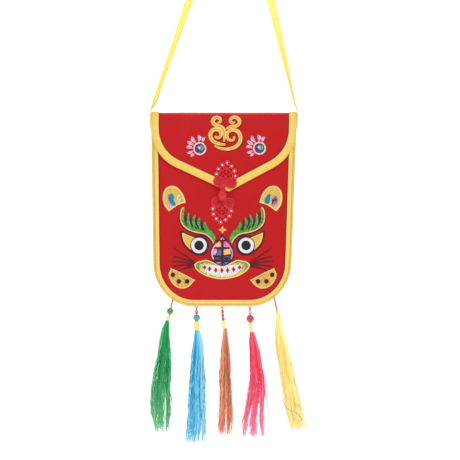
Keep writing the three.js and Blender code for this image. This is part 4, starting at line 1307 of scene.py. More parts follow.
BROW_FLAMES = [(215.0, 241.2), (215.8, 239.4), (215.3, 236.2), (213.9, 233.1), (211.7, 230.8),
               (208.8, 228.2), (206.9, 225.8), (206.3, 223.4), (205.1, 220.6), (203.5, 223.0),
               (202.8, 225.6), (203.9, 229.3), (200.7, 226.6), (200.2, 224.0), (200.6, 220.9),
               (199.9, 216.6), (197.3, 220.4), (196.8, 223.2), (198.7, 227.8), (195.8, 224.0),
               (194.9, 221.0), (195.4, 217.6), (195.9, 213.0), (193.0, 216.8), (191.7, 220.8),
               (191.9, 223.2), (192.8, 226.8), (190.5, 223.6), (189.7, 220.6), (189.5, 216.4),
               (188.8, 211.8), (187.1, 215.6), (186.7, 218.9), (186.6, 221.6), (187.0, 224.8),
               (185.3, 222.8), (184.5, 220.4), (184.2, 216.0), (184.7, 211.2)]
BROW_GAPS = [[(185.3, 211.8), (185.5, 217.0), (185.9, 222.6), (187.4, 225.8)],
             [(190.8, 215.4), (190.6, 219.0), (191.0, 223.0), (193.2, 227.6)],
             [(197.2, 216.6), (196.1, 220.0), (196.2, 223.6), (199.0, 228.6)],
             [(201.9, 219.6), (201.6, 223.0), (202.0, 226.4), (204.6, 230.2)],
             [(194.8, 225.4), (195.6, 227.4), (197.2, 229.2)],
             [(200.9, 227.4), (202.0, 229.0), (203.2, 230.6)]]


def ear(flip):
    heap = Heap()
    outline = rounded(drawn(EAR, flip), 3)
    slant = 62 if flip else 118
    fill(heap, outline, slant, ["gold", "olive_gold", "olive_gold"], on_front, longest=2.6,
         seed=11)
    leaves = [(EAR_TEAL, 100, ["teal", "teal", "blue"]),
              (EAR_PLUM, 70, ["violet", "lilac", "plum"])]
    if not flip:
        leaves = [(EAR_BLUE, 80, ["blue", "blue", "teal"]), (EAR_PINK, 80, ["pink", "rose"]),
                  (EAR_LEMON, 60, ["mint", "pale_gold", "apricot"])]
    for leaf, degrees, dye in leaves:
        fill(heap, rounded(drawn(leaf)), degrees, dye, on_front, 0.75, 0.15)
    stem(heap, outline + outline[:1], 0.7, "brown", on_front, 0.1)
    border(heap, inset(outline, drawn([(174, 198)], flip)[0], 0.7), 1.7, "apricot", on_front,
           0.62, closed=True)
    return heap


def brow_dye(point):
    """Bright at the brow's foot, and greyer up the flames."""
    down = DRAWN_TOP - point.y
    rising = 224.5 + max(0.0, abs(point.x + DRAWN_LEFT - MASK_MIDDLE) - 20) * -0.05
    if down < rising - 6:
        return ["sage", "sage", "green"]
    return ["sage", "green", "green"] if down < rising else ["green", "green", "leaf"]


def brow(flip):
    heap = Heap()
    foot = curved(drawn(BROW_FOOT, flip), 4)
    flames = curved(drawn(BROW_FLAMES, flip), 2)
    fill(heap, foot + flames, 55 if flip else 125, brow_dye, on_front, pad=0.4, longest=2.0,
         seed=12)
    for dark in BROW_GAPS:
        stem(heap, curved(drawn(dark, flip), 4), lambda share: 0.5 + 1.3 * math.sin(3 * share),
             "moss", on_front, 0.66)
    stem(heap, flames, 0.55, "maroon", on_front, 0.3)
    inside = Vector((-0.45 if flip else 0.45, 0.55))
    border(heap, [p + inside for p in foot[2:]], 1.1, "apricot", on_front, 0.6)
    stem(heap, [p - inside for p in foot], 1.5, "maroon", on_front, 0.25)
    return heap


def embroidered(node, heap, slot, look=THREAD):
    heap.piece("embroidered_" + node, slot, look, [node])
    print(node, "stitched with", len(heap.faces), "faces")


for side, flip in (("left", False), ("right", True)):
    embroidered(f"ear_{side}", ear(flip), "gold_thread")
    embroidered(f"brow_{side}", brow(flip), "green_thread")

# %% [markdown]
# ## Eyes, cheeks and whiskers
#
# A round white ball with a black pupil lies over a yellow corner, under a long dark lid. The
# ring round the ball is thickest towards the nose. The half moons of the cheeks have three
# spots each, and the whiskers are single lines of slanting stitches that run together at the
# corners of the mouth.

# %% Eyes, cheeks and whiskers
EYE = (199.1, 245.5)
BALL, PUPIL = 8.0, 4.9
WEDGE = [(182.2, 232.8), (187.8, 235.3), (192.9, 237.2), (194.8, 238.6), (192.2, 241.6),
         (191.0, 245.4), (191.4, 249.6), (190.3, 249.3), (187.8, 246.9), (184.6, 242.9),
         (182.7, 238.1)]
LID = [(181.0, 231.0), (184.6, 233.1), (187.8, 234.7), (192.2, 236.2), (196.7, 236.3),
       (201.6, 236.3), (206.2, 239.0), (208.6, 244.4), (207.6, 250.0), (204.2, 254.0),
       (199.2, 255.2), (194.2, 253.8), (190.2, 251.2), (187.2, 248.6), (184.0, 244.6),
       (182.0, 240.6), (181.1, 236.0), (181.0, 231.0)]
SOCKET = [(183.0, 230.0), (188.0, 232.4), (193.0, 234.2), (198.0, 235.0), (202.4, 235.8),
          (206.0, 237.2), (209.4, 240.2), (212.0, 243.8), (211.8, 248.6), (209.8, 252.8),
          (206.4, 256.0), (207.6, 251.6), (208.6, 246.0), (207.4, 240.4), (203.6, 236.8),
          (199.0, 236.0), (194.0, 236.6), (190.0, 236.0), (185.6, 233.9)]
CHEEK = [(171.0, 268.6), (171.0, 268.6), (178.7, 271.6), (186.6, 275.6), (194.6, 280.2),
         (194.6, 280.2), (191.6, 284.2), (187.9, 287.2), (183.0, 288.7), (177.3, 287.6),
         (172.5, 283.8), (169.6, 279.0), (168.6, 273.8)]
SPOTS, SPOT_RADIUS = [(172.9, 274.8), (178.8, 281.4), (187.1, 281.4)], 2.5
WHISKERS = [[(195.2, 263.0), (184.0, 255.0), (173.0, 247.9)],
            [(194.8, 264.0), (184.6, 259.4), (173.2, 256.3)],
            [(194.6, 264.8), (184.0, 262.4), (172.2, 261.3)],
            [(194.8, 265.6), (184.6, 265.0), (172.2, 266.6)],
            [(195.0, 266.4), (186.6, 267.8), (177.0, 271.4)]]


def eye(flip):
    heap = Heap()
    centre = drawn([EYE], flip)[0]
    fill(heap, drawn(SOCKET, flip), 30 if flip else 150, "umber", on_front, 0.08, 0.2)
    wedge = drawn(WEDGE, flip)
    fill(heap, wedge, 60 if flip else 120, ["olive_gold", "gold"], on_front, seed=13)
    for rim in (wedge[:4], wedge[7:] + wedge[:1]):
        border(heap, inset(curved(rim, 4), centre, 0.6), 1.0, "pale_gold", on_front, 0.6)
    fill(heap, circle(centre, BALL), 90, "white", on_front, pad=0.6, seed=14)
    fill(heap, circle(centre, PUPIL, 18), 20, "black", on_front, 0.86, 0.2, seed=15)

    def ring_width(share):
        """Thickest towards the nose and below."""
        towards = math.cos(TURN * share + math.radians(150 if flip else 30))
        return lerp(1.2, 2.4, (1 + towards) / 2)

    border(heap, circle(centre, BALL + 0.7, 40), ring_width, ["black", "plum"], on_front, 0.5,
           closed=True)
    stem(heap, curved(drawn(LID, flip), 5), 1.6, "maroon", on_front, 0.35)
    return heap


def cheek(flip):
    heap = Heap()
    outline = rounded(drawn(CHEEK, flip), 3)
    fill(heap, outline, 65 if flip else 115, ["gold", "ochre", "peach", "olive_gold"],
         on_front, longest=2.0, seed=16)
    stem(heap, outline + outline[:1], 0.7, "brown", on_front, 0.1)
    border(heap, inset(outline, drawn([(180, 279)], flip)[0], 0.55), 1.0, "apricot",
           on_front, 0.56, closed=True)
    for n, spot in enumerate(drawn(SPOTS, flip)):
        fill(heap, circle(spot, SPOT_RADIUS, 7 + n), 40 * n, ["brown", "black"], on_front,
             0.8, 0.15, seed=17 + n)
    return heap


for side, flip in (("left", False), ("right", True)):
    embroidered(f"eye_{side}", eye(flip), "white_thread")
    embroidered(f"cheek_{side}", cheek(flip), "gold_thread")
whisker_heap = Heap()
for flip in (False, True):
    for hair in WHISKERS:
        stem(whisker_heap, curved(drawn(hair, flip), 5), lambda share: lerp(1.5, 1.0, share),
             "maroon", on_front, 0.35)
whisker_heap.piece("whiskers", "violet_thread", THREAD)

# %% [markdown]
# ## Nose, mouth and forehead
#
# The nose is a patchwork jewel: small fills of many colours on a dark ground, with dark seams
# between them and a light line inside each edge. The mouth is three fills, one inside the
# other, lips, border and teeth, with seven red gums set on the teeth.

# %% Nose, mouth and forehead
NOSE = [(222.3, 235.0), (222.3, 235.0), (219.2, 239.2), (214.8, 243.6), (211.5, 248.8),
        (210.6, 254.4), (212.4, 260.0), (216.6, 264.0), (222.2, 265.8), (228.0, 264.0),
        (232.4, 259.6), (234.0, 253.8), (232.0, 247.6), (228.8, 243.2), (225.2, 239.0)]
# Each patch of the nose: its outline, its dyes and the slant of its stitches.
NOSE_PATCHES = [
    ([(222.3, 236.8), (224.6, 239.4), (222.4, 240.4), (220.0, 239.6)], ["lilac", "rose"], 90),
    ([(219.6, 240.8), (221.2, 242.4), (221.2, 246.8), (217.6, 247.4), (214.6, 246.4),
      (216.4, 243.6)], ["peach", "apricot", "sage"], 60),
    ([(223.6, 241.4), (226.8, 241.4), (230.2, 245.8), (227.8, 247.6), (223.6, 247.0)],
     ["pink", "lilac", "violet"], 120),
    ([(213.2, 248.8), (216.8, 248.6), (217.2, 252.4), (215.4, 255.2), (212.4, 254.4)],
     ["pink", "rose", "lilac"], 40),
    ([(217.8, 249.4), (221.2, 249.4), (221.2, 255.4), (216.4, 255.6), (217.9, 252.6)],
     ["blue", "blue", "violet"], 80),
    ([(223.7, 249.4), (230.4, 248.6), (230.8, 254.0), (223.8, 255.4)],
     ["amber", "pale_gold", "peach"], 100),
    ([(214.6, 257.2), (217.8, 256.4), (221.2, 257.0), (221.2, 259.6), (218.2, 261.0),
      (214.8, 259.8)], ["black", "black", "teal"], 10),
    ([(223.5, 257.0), (226.8, 256.2), (230.6, 257.0), (230.2, 259.6), (226.6, 260.8),
      (223.5, 259.8)], ["black", "black", "teal"], 170),
    ([(215.8, 262.0), (221.2, 262.2), (221.4, 264.6), (218.0, 264.0)],
     ["blue", "navy", "lilac"], 20),
    ([(223.4, 262.2), (229.0, 261.8), (226.6, 264.0), (223.2, 264.8)],
     ["navy", "blue", "lilac"], 160),
]
# Each seam between the patches: its points, steps from one to the next, width and dye.
NOSE_SEAMS = [
    ([(222.4, 238.0), (222.5, 250.0), (222.3, 264.6)], 1, 1.2, "maroon"),
    ([(211.6, 248.6), (216.5, 247.8), (222.4, 248.8), (228.0, 247.8), (232.8, 248.0)],
     4, 1.2, "plum"),
    ([(212.4, 256.6), (217.0, 255.8), (222.4, 256.6), (227.6, 255.6), (232.0, 256.2)],
     4, 1.2, "maroon"),
    ([(216.8, 241.4), (219.6, 240.0), (222.4, 241.4), (225.2, 240.0), (228.0, 241.6)],
     4, 1.0, "maroon"),
]
NOSE_LINES = {
    "rose": [(216.6, 243.6), (212.9, 248.8), (212.0, 254.4), (213.6, 259.4)],
    "lilac": [(228.4, 244.8), (231.6, 249.4), (232.4, 254.2), (231.0, 259.0)],
}
MOUTH = [(194.9, 264.6), (194.9, 264.6), (198.2, 262.2), (202.0, 261.2), (205.5, 260.5),
         (209.0, 261.1), (212.4, 262.6), (222.3, 266.6), (232.4, 262.6), (235.6, 261.1),
         (239.0, 260.5), (242.6, 261.2), (246.4, 262.2), (249.4, 264.8), (249.4, 264.8),
         (248.0, 268.4), (244.4, 271.8), (236.2, 276.2), (222.3, 278.6), (208.4, 276.2),
         (199.9, 271.8), (196.2, 268.4)]
LIPS = [(199.2, 265.8), (203.0, 263.2), (206.4, 262.6), (210.0, 263.4), (222.3, 266.6),
        (234.6, 263.4), (238.2, 262.6), (241.6, 263.2), (245.3, 265.8), (243.8, 270.4),
        (239.4, 274.0), (232.6, 276.4), (222.3, 277.8), (212.0, 276.4), (205.2, 274.0),
        (200.7, 270.4)]
TEETH = [(203.2, 264.6), (203.2, 264.6), (212.4, 265.0), (222.3, 266.2), (232.2, 265.0),
         (241.4, 264.6), (241.4, 264.6), (241.4, 268.6), (238.2, 272.4), (231.8, 275.2),
         (222.3, 276.8), (212.8, 275.2), (206.4, 272.4), (203.2, 268.6)]
GUMS = [(204.7, 267.4), (209.6, 268.9), (215.8, 270.2), (221.9, 270.5), (227.6, 270.3),
        (233.6, 269.4), (239.6, 267.4)]


def nose():
    heap = Heap()
    outline = rounded(drawn(NOSE), 4)
    fill(heap, outline, 90, ["plum", "navy", "maroon"], on_front, 0.15, 0.35, seed=21)
    for n, (patch, dye, degrees) in enumerate(NOSE_PATCHES):
        fill(heap, drawn(patch), degrees, dye, on_front, 0.62, 0.3, longest=2.6, seed=30 + n)
    for seam, steps, width, dye in NOSE_SEAMS:
        stem(heap, curved(drawn(seam), steps), width, dye, on_front, 0.9)
    border(heap, outline, 1.5, ["navy", "plum", "maroon"], on_front, 0.5, closed=True)
    for dye, line in NOSE_LINES.items():
        stem(heap, curved(drawn(line), 5), 1.2, dye, on_front, 0.95)
    return heap


def tooth_dye(point):
    """White above, and a greenish ivory along the lower lip."""
    lower = 274.6 - 0.011 * (point.x - drawn([(MASK_MIDDLE, 0)])[0].x) ** 2
    return "ivory" if DRAWN_TOP - point.y > lower else "white"


def mouth():
    heap = Heap()
    outline = rounded(drawn(MOUTH), 4)
    fill(heap, outline, 30, ["green", "leaf", "green", "sage"], on_front, longest=2.4, seed=22)
    fill(heap, rounded(drawn(LIPS), 3), 60, ["pale_gold", "sage", "olive_gold", "apricot"],
         on_front, 0.66, 0.1, longest=1.6, seed=24)
    fill(heap, rounded(drawn(TEETH), 4), 90, tooth_dye, on_front, 0.72, 0.3, seed=23)
    for n, gum in enumerate(drawn(GUMS)):
        long = 3.0 if 0 < n < len(GUMS) - 1 else 2.5
        diamond = [gum + Vector(v) for v in ((0, long), (2.0, 0), (0, -long), (-2.0, 0))]
        fill(heap, diamond, 90, "red", on_front, 1.15, 0.15, seed=40 + n)
    border(heap, outline, 1.3, ["apricot", "pale_gold", "apricot"], on_front, 0.56, closed=True)
    return heap


def forehead_mark():
    heap = Heap()
    centre = drawn([(222.6, 229.8)])[0]
    for n in range(4):
        at = TURN * n / 4
        tip = Vector((math.sin(at), math.cos(at)))
        side = Vector((tip.y, -tip.x))
        leaf = [centre, centre + tip * 1.9 + side * 1.3, centre + tip * 4.1,
                centre + tip * 1.9 - side * 1.3]
        fill(heap, leaf, 90 - math.degrees(at), ["amber", "peach"], on_front, 0.2, 0.3,
             seed=50 + n)
    return heap


embroidered("nose", nose(), "violet_thread")
embroidered("mouth", mouth(), "white_thread")
embroidered("forehead_mark", forehead_mark(), "gold_thread")

# %% [markdown]
# ## The flap's ornaments
#
# The middle of the flap has a cloud of four gold scrolls, an old sign of good luck, stitched
# as thick and thin satin columns, each with a brown column of painted shade below and to its
# right. Beside it are two sprays of pink and white petals round a little medallion.

# %% Ornaments on the flap
# Each scroll: the places it goes through, and its widest width.
SCROLLS = [
    ([(214.0, 146.8), (221.4, 149.8), (230.0, 150.2), (238.4, 146.4), (241.8, 139.4),
      (239.4, 132.0), (232.4, 129.6), (227.2, 133.6), (228.4, 139.8), (233.8, 140.8),
      (235.0, 137.0)], 4.0),
    ([(225.4, 145.6), (218.0, 144.6), (211.6, 141.2), (209.2, 134.6), (213.0, 129.4),
      (219.0, 130.2), (221.0, 135.2), (217.6, 138.6), (214.4, 136.6)], 4.2),
    ([(224.0, 142.0), (224.6, 134.0), (222.0, 127.4), (215.4, 125.0), (211.8, 121.0),
      (214.0, 116.8), (219.2, 117.0), (220.2, 121.0), (217.0, 122.2)], 4.2),
    ([(225.8, 129.0), (231.6, 125.8), (237.8, 125.4), (240.8, 121.0), (238.2, 116.8),
      (233.0, 116.4), (230.4, 120.0), (232.8, 122.4), (235.4, 121.2)], 3.8),
]
CLOUD_MIDDLE, CLOUD_SCALE = (225.3, 133.2), 0.93
MEDALLIONS = {"left": (199.8, 148.7), "right": (259.5, 148.3)}
# Each petal of a spray, from the medallion's middle: its tip, and how wide it is.
SPRAY = [((-13.8, -1.0), 3.6), ((-12.8, 4.6), 3.2), ((-12.6, -7.4), 3.8), ((-8.2, -12.4), 3.8),
         ((-1.6, -13.6), 3.8), ((5.4, -11.6), 3.4), ((-9.0, 8.4), 3.0)]
# The medallion's fills: where, radius, corners, slant, dyes, height of the ground and padding.
MEDALLION_FILLS = [
    ((0, 0), 5.2, 28, 30, ["violet", "navy", "plum"], 0.15, 0.4),
    ((1.3, 0.7), 2.8, 9, 80, ["teal", "mint", "navy"], 0.66, 0.15),
    ((-0.6, 1.0), 1.5, 7, 20, ["lilac", "white"], 0.8, 0.15),
]


def brush(share, widest):
    """How wide a scroll is: thin, then full, then thin at the curl's end."""
    return widest * (0.3 + 0.7 * math.sin(math.pi * clamp(share * 0.9 + 0.04)) ** 0.7)


def cloud():
    heap = Heap()
    middle = drawn([CLOUD_MIDDLE])[0]
    for n, (places, widest) in enumerate(SCROLLS):
        path = [middle.lerp(point, CLOUD_SCALE) for point in curved(drawn(places), 6)]
        border(heap, path, lambda share: brush(share, widest), ["gold", "amber", "apricot"],
               on_flap, 0.45, seed=60 + n)
        # Painted shade: a brown copy of each scroll, shifted right and down.
        shade = [point + Vector((0.9, -1.1)) for point in path]
        border(heap, shade, lambda share: brush(share, widest), "brown", on_flap, 0.1)
        stem(heap, path, 0.6, "ochre", on_flap, 0.7)
    return heap


def spray(centre):
    heap = Heap()
    rng = random.Random(70)
    for n, ((across, down), wide) in enumerate(SPRAY):
        tip = centre + Vector((across, -down))
        way = (tip - centre).normalized()
        start = centre + way * 6.4
        side = Vector((-way.y, way.x)) * (wide / 2)
        bend = Vector((way.y, -way.x)) * rng.uniform(-1.2, 1.2)
        leaf = rounded([start, start.lerp(tip, 0.6) + side + bend, tip,
                        start.lerp(tip, 0.6) - side + bend], 4)
        fill(heap, leaf, math.degrees(math.atan2(way.y, way.x)) + 70, ["rose", "rose", "white"],
             on_flap, 0.15, 0.35, seed=71 + n)
        stem(heap, [start, start.lerp(tip, 0.5) + bend * 0.6, tip], 0.8, "pink", on_flap, 0.55)
        stem(heap, leaf + leaf[:1], 0.5, "maroon", on_flap, 0.08)
    for (across, up), radius, corners, degrees, dye, base, pad in MEDALLION_FILLS:
        fill(heap, circle(centre + Vector((across, up)), radius, corners), degrees, dye, on_flap,
             base, pad)
    border(heap, circle(centre, 5.8, 36), 1.6, ["rose", "white", "peach"], on_flap, 0.5,
           closed=True)
    stem(heap, circle(centre, 6.8, 36, True), 0.6, "maroon", on_flap, 0.1)
    return heap


embroidered("cloud_ornament", cloud(), "gold_thread", METAL_THREAD)
for side, middle in MEDALLIONS.items():
    embroidered(f"blossom_{side}", spray(drawn([middle])[0]), "pink_thread")

# %% [markdown]
# ## Tassels
#
# A tassel is a skein of rayon floss, folded over a cord and bound round its head with gold
# thread. Some have a bead above the binding. The floss swells below the binding, hangs in
# loose locks that part and cross, and ends ragged. Each skirt is drawn as a left and a right
# edge down its length, and every strand keeps its share of the width between them.

# %% Tassels
# across is a share of the pouch's half width, lengths are in mm, lean in degrees to the right.
TASSELS = [
    {"name": "green", "across": -0.725, "cord": 14.8, "neck": 6, "thick": 1.7, "lean": -13},
    {"name": "blue", "across": -0.375, "cord": 14.7, "neck": 8.6, "thick": 2.7, "lean": 1},
    {"name": "copper", "across": 0, "cord": 14.2, "neck": 7.8, "thick": 1.8, "lean": 5},
    {"name": "rose", "across": 0.41, "cord": 16.1, "neck": 9, "thick": 2, "lean": 1.5},
    {"name": "yellow", "across": 0.765, "cord": 12.7, "neck": 10.5, "thick": 2.3, "lean": 12},
]
# Rows of (down, left, right), read from the drawing.
SKIRTS = {
    "green": [(320.5, 165.6, 168.8), (328, 162, 169), (340, 159, 169.6), (352, 157, 170.4),
              (364, 155, 171), (376, 152.6, 171), (388, 151, 171), (400, 150, 171.6),
              (412, 150.4, 171.4), (424, 151.6, 171), (433, 153, 170)],
    "blue": [(330, 195, 199.2), (340, 193.6, 202), (352, 192, 204), (364, 190.6, 204.6),
             (376, 190, 205), (388, 188.4, 205), (400, 187.6, 205.4), (412, 187.6, 206),
             (424, 186.6, 207), (436, 184.6, 206), (444, 184, 204)],
    "copper": [(328.6, 223.8, 226.8), (340, 222.4, 228.4), (352, 220.6, 230), (364, 220, 231),
               (376, 219.4, 232), (388, 219, 232.4), (400, 218.4, 232.6), (412, 217.6, 233.2),
               (424, 216.8, 233.8), (436, 216.4, 234)],
    "rose": [(332, 250.2, 253.8), (340, 249.4, 256.6), (352, 249.8, 260), (364, 250, 262),
             (376, 249.6, 264.4), (388, 248.4, 265.4), (400, 246.8, 265.6), (412, 244.6, 266),
             (424, 241.4, 267), (438, 239, 269)],
    "yellow": [(319.6, 276.2, 280.8), (328, 275.4, 282.6), (340, 275, 286), (352, 276.4, 289.6),
               (364, 278.2, 292), (376, 280.2, 294.4), (388, 282.4, 297), (400, 284.4, 300),
               (412, 286, 303), (424, 288.8, 306), (431, 291, 307)],
}
# Where a skirt parts: the share of its length at which it starts, and for each tail its range
# across at the top and at the ends.
TAILS = {
    "green": (0.4, [(-1, 0.4, -1, 0.2), (0.4, 1, 0.5, 1)]),
    "blue": (0.6, [(-1, 0.5, -1, 0.42), (0.5, 1, 0.62, 1)]),
    "copper": (0.35, [(-1, 0, -1, -0.1), (0, 1, 0.1, 1)]),
    "rose": (0.25, [(-1, -0.3, -1, -0.6), (-0.3, 0.4, -0.3, 0.16), (0.4, 1, 0.5, 0.85)]),
    "yellow": (0.7, [(-1, 1, -1, 1)]),
}
# Four tones of each skirt's strands, and the paler one of its frayed ends.
TONES = {
    "green": dyes(a=(28, 170, 92), b=(52, 204, 120), c=(140, 236, 180), d=(18, 132, 72),
                  frayed=(132, 216, 162)),
    "blue": dyes(a=(30, 160, 208), b=(70, 204, 238), c=(176, 234, 250), d=(20, 132, 184),
                 frayed=(136, 222, 246)),
    "copper": dyes(a=(220, 66, 64), b=(156, 104, 62), c=(242, 196, 138), d=(238, 138, 118),
                   frayed=(242, 166, 134)),
    "rose": dyes(a=(238, 38, 66), b=(244, 64, 92), c=(250, 124, 152), d=(218, 30, 60),
                 frayed=(250, 146, 184)),
    "yellow": dyes(a=(255, 242, 176), b=(255, 230, 136), c=(252, 212, 108), d=(255, 236, 156),
                   frayed=(255, 246, 188)),
}
# How many strands and stray wisps a skirt has, how far a strand bends in mm, and how much it
# keeps to its lock.
NATURES = {
    "green": {"strands": 200, "wisps": 16, "crinkle": 0.75, "gather": 0.35},
    "blue": {"strands": 240, "wisps": 30, "crinkle": 0.7, "gather": 0.35},
    "copper": {"strands": 190, "wisps": 18, "crinkle": 0.7, "gather": 0.5},
    "rose": {"strands": 190, "wisps": 34, "crinkle": 0.75, "gather": 0.3},
    "yellow": {"strands": 300, "wisps": 26, "crinkle": 0.3, "gather": 0.25},
}
TASSEL_RED, TASSEL_GOLD = linear(226, 88, 100), linear(255, 238, 146)
RINGS, LOCKS = 40, 16  # rings of points along a strand, and locks in a skirt
STRAND_RADIUS, WISP_RADIUS, WOUND_RADIUS = 0.28, 0.13, 0.34
SHORTER = 0.38  # the share of its length that the shortest strand lacks
BEAD_SWELL = 1.2  # how much wider a bead is than its plain solid
# A dark thread that has caught on the front of the yellow skirt, and how far forward it lies.
CAUGHT, CAUGHT_DEPTH = [(282.4, 398.0), (284.6, 404.8), (288.6, 409.4), (294.2, 411.4),
                        (298.4, 415.0), (302.6, 420.4)], -8.5


def edges_at(rows, down):
    for (low, *start), (high, *end) in zip(rows, rows[1:]):
        if down <= high:
            share = clamp((down - low) / (high - low))
            return lerp(start[0], end[0], share), lerp(start[1], end[1], share)
    return rows[-1][1:]


def parted(across, share, tails):
    """Where across a strand lies, once the skirt has parted into tails."""
    start, ranges = tails
    for low, high, end_low, end_high in ranges:
        if across <= high:
            there = lerp(end_low, end_high, (across - low) / (high - low))
            return lerp(across, there, smooth(share, start, 1.0))
    return across


def strand(heap, path, radius, tints):
    rows = []
    for k, point in enumerate(path):
        thin = radius * (0.35 if k == len(path) - 1 else 1.0)
        rows.append([point + Vector((thin * math.cos(a), thin * math.sin(a), 0))
                     for a in (0.5, 0.5 + TURN / 3, 0.5 + 2 * TURN / 3)])
    heap.grid(rows, tints, around=True)


def floss(name):
    """One skirt: crinkled strands in locks that part, and wisps that fly out."""
    rng = random.Random("floss " + name)
    heap = Heap()
    nature, rows = NATURES[name], SKIRTS[name]
    *tones, frayed = TONES[name].values()
    top, bottom = rows[0][0], rows[-1][0]
    locks = [(rng.uniform(-0.9, 0.9), rng.uniform(-0.8, 0.8), rng.uniform(1.0, 2.4),
              rng.random(), rng.choice(tones)) for _ in range(LOCKS)]
    for n in range(nature["strands"] + nature["wisps"]):
        wisp = n >= nature["strands"]
        turn, out = rng.uniform(0, TURN), math.sqrt(rng.uniform(0.02, 1))
        across, deep = out * math.cos(turn), out * math.sin(turn)
        lock = min(locks, key=lambda one: (one[0] - across) ** 2 + (one[1] - deep) ** 2)
        length = (bottom - top) * (1 - SHORTER * rng.random() ** 1.5)
        crinkles = [(rng.uniform(2, 4.5), rng.random(), 0.6),
                    (rng.uniform(6, 11), rng.random(), 0.4)]
        stray = rng.choice((-1, 1)) * rng.uniform(0.2, 0.9) if wisp else 0.0
        tone = shaded(lock[4] if rng.random() < 0.45 else rng.choice(tones), rng, 0.12)
        path, tints = [], []
        for k in range(RINGS + 1):
            share = k / RINGS
            down = top + length * share
            left, right = edges_at(rows, down)
            half = (right - left) / 2
            place = lerp(across, lock[0], nature["gather"] * smooth(share, 0.12, 0.8))
            place = parted(place, share, TAILS[name])
            sway = math.sin(TURN * (share * lock[2] + lock[3])) * 0.09
            place += sway * smooth(share, 0.05, 0.5) + stray * smooth(share, 0.1, 1) ** 1.4
            loose = nature["crinkle"] * smooth(share, 0.08, 0.6)
            bends = [loose * sum(size * math.sin(TURN * (share * waves + phase + shift))
                                 for waves, phase, size in crinkles) for shift in (0, 0.3)]
            thick = max(1.3, half * 0.62)
            path.append(Vector(((left + right) / 2 - DRAWN_LEFT + half * place + bends[0],
                                thick * lerp(deep, lock[1], 0.5 * share) + bends[1],
                                DRAWN_TOP - down)))
            fade = smooth(share, 0.5, 1.0) * (0.8 if name == "rose" else 0.45)
            fade = max(fade, 0.7 if wisp else 0.0)
            tints.append(tuple(lerp(a, b, fade) for a, b in zip(tone, frayed)))
        strand(heap, path, WISP_RADIUS if wisp else STRAND_RADIUS, tints)
    return heap


def loose_thread(heap):
    path = [Vector((p.x, CAUGHT_DEPTH, p.y)) for p in curved(drawn(CAUGHT))]
    strand(heap, path, 0.32, linear(150, 74, 48))


def winding(heap, top, bottom, radius):
    """Thread wound round a head, over a core that closes the gaps."""
    pitch, steps = 0.62, 12
    turns = max(6, round((bottom - top).length / pitch))
    path = []
    for k in range(turns * steps + 1):
        at = TURN * k / steps
        centre = top.lerp(bottom, k / (turns * steps))
        path.append(centre + Vector((math.cos(at), math.sin(at), 0)) * (radius - 0.3))
    cord(heap, path, WOUND_RADIUS, TASSEL_GOLD, plies=1, sides=5, depth=0.05)
    core = [top.lerp(bottom, share) for share in spaced(0, 1, 4)]
    cord(heap, core, radius - 0.35, TASSEL_GOLD, plies=1, sides=12, depth=0.0)


def knot(heap, centre):
    path = []
    for t in spaced(0, TURN, 72):
        up = 0.8 * math.sin(3 * t)
        out = math.sqrt(1 - up * up)
        there = Vector((out * math.cos(2 * t), out * math.sin(2 * t), up))
        path.append(centre + there * KNOT_SIZE)
    cord(heap, path, KNOT_SIZE * 0.5, TASSEL_RED, sides=6)


def bead(centre, radius):
    heap = Heap()
    bore = math.acos(0.9 / radius)
    rows = [[centre + Vector((radius * math.cos(tilt) * math.cos(a),
                              radius * math.cos(tilt) * math.sin(a), radius * math.sin(tilt)))
             for a in spaced(0, TURN, 28)[:-1]] for tilt in spaced(-bore, bore, 18)]
    heap.grid(rows, around=True, caps=True)
    return heap


BEADS = {"green": ((64, 150, 92), (30, 100, 62)), "blue": ((96, 170, 184), (44, 118, 148)),
         "rose": ((214, 60, 78), (176, 30, 52))}
# How far above the bead or the head each knot of a cord lies, in mm.
KNOTS, KNOT_SIZE = {"blue": [1.6], "copper": [1.6, 5.2, 9.0]}, 1.2


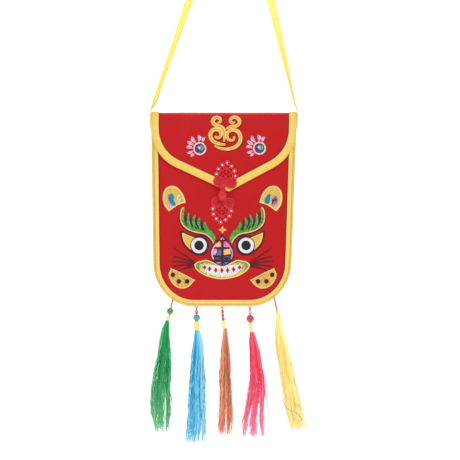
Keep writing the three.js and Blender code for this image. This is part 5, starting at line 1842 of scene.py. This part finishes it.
def tassel_cord(heap, name, hang, way, length, bead_radius):
    """The cord from inside the seam to the bead or the neck: double, knotted or plain."""
    end = length - 2 * bead_radius
    path = [hang + way * d for d in spaced(-3.0, end, 24)]
    if name in ("rose", "blue"):
        for side in (-1, 1):
            double = [p + Vector((side * 1.0 * math.sin(math.pi * 2 * k / 24), 0.5 * side, 0))
                      for k, p in enumerate(path)]
            cord(heap, double, 0.6, TASSEL_RED, pitch=2.0, sides=7)
    else:
        cord(heap, path, 0.85, TASSEL_RED, pitch=2.4)
    if bead_radius:
        inside = [hang + way * d for d in spaced(end, length, 6)]
        cord(heap, inside, 0.6, TASSEL_RED, pitch=2.4)
    for above in KNOTS.get(name, []):
        knot(heap, hang + way * (end - above))


for tassel in TASSELS:
    name = tassel["name"]
    x = tassel["across"] * HALF
    hang = Vector((settle(x, -body_edge(x)), 0, -body_edge(x)))
    lean = math.radians(tassel["lean"])
    way = Vector((math.sin(lean), 0, -math.cos(lean)))
    low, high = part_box(name + "_bead") if name in BEADS else ((0, 0, 0), (0, 0, 0))
    bead_radius = BEAD_SWELL * (high[0] - low[0]) / 2 / MM
    cord_heap, neck_heap = Heap(), Heap()
    tassel_cord(cord_heap, name, hang, way, tassel["cord"], bead_radius)
    cord_heap.piece(name + "_twisted_cord", "red_cord", CORD, [name + "_tassel_cord"])
    if name in BEADS:
        middle = hang + way * (tassel["cord"] - bead_radius)
        polished = bead_look(name + "_glaze", *(linear(*c) for c in BEADS[name]))
        bead(middle, bead_radius).piece(name + "_polished_bead", name + "_bead", polished,
                                        [name + "_bead"])
    neck_top = hang + way * (tassel["cord"] + CLEARANCE)
    neck_end = neck_top + way * tassel["neck"]
    winding(neck_heap, neck_top, neck_end, tassel["thick"])
    neck_heap.piece(name + "_wound_neck", "yellow_floss", THREAD, [name + "_tassel_neck"])
    skirt = floss(name)
    if name == "yellow":
        loose_thread(skirt)
    skirt.piece(name + "_floss_skirt", name + "_floss", FLOSS, [name + "_tassel_skirt"])
    print(name, "tassel:", len(skirt.faces), "faces")
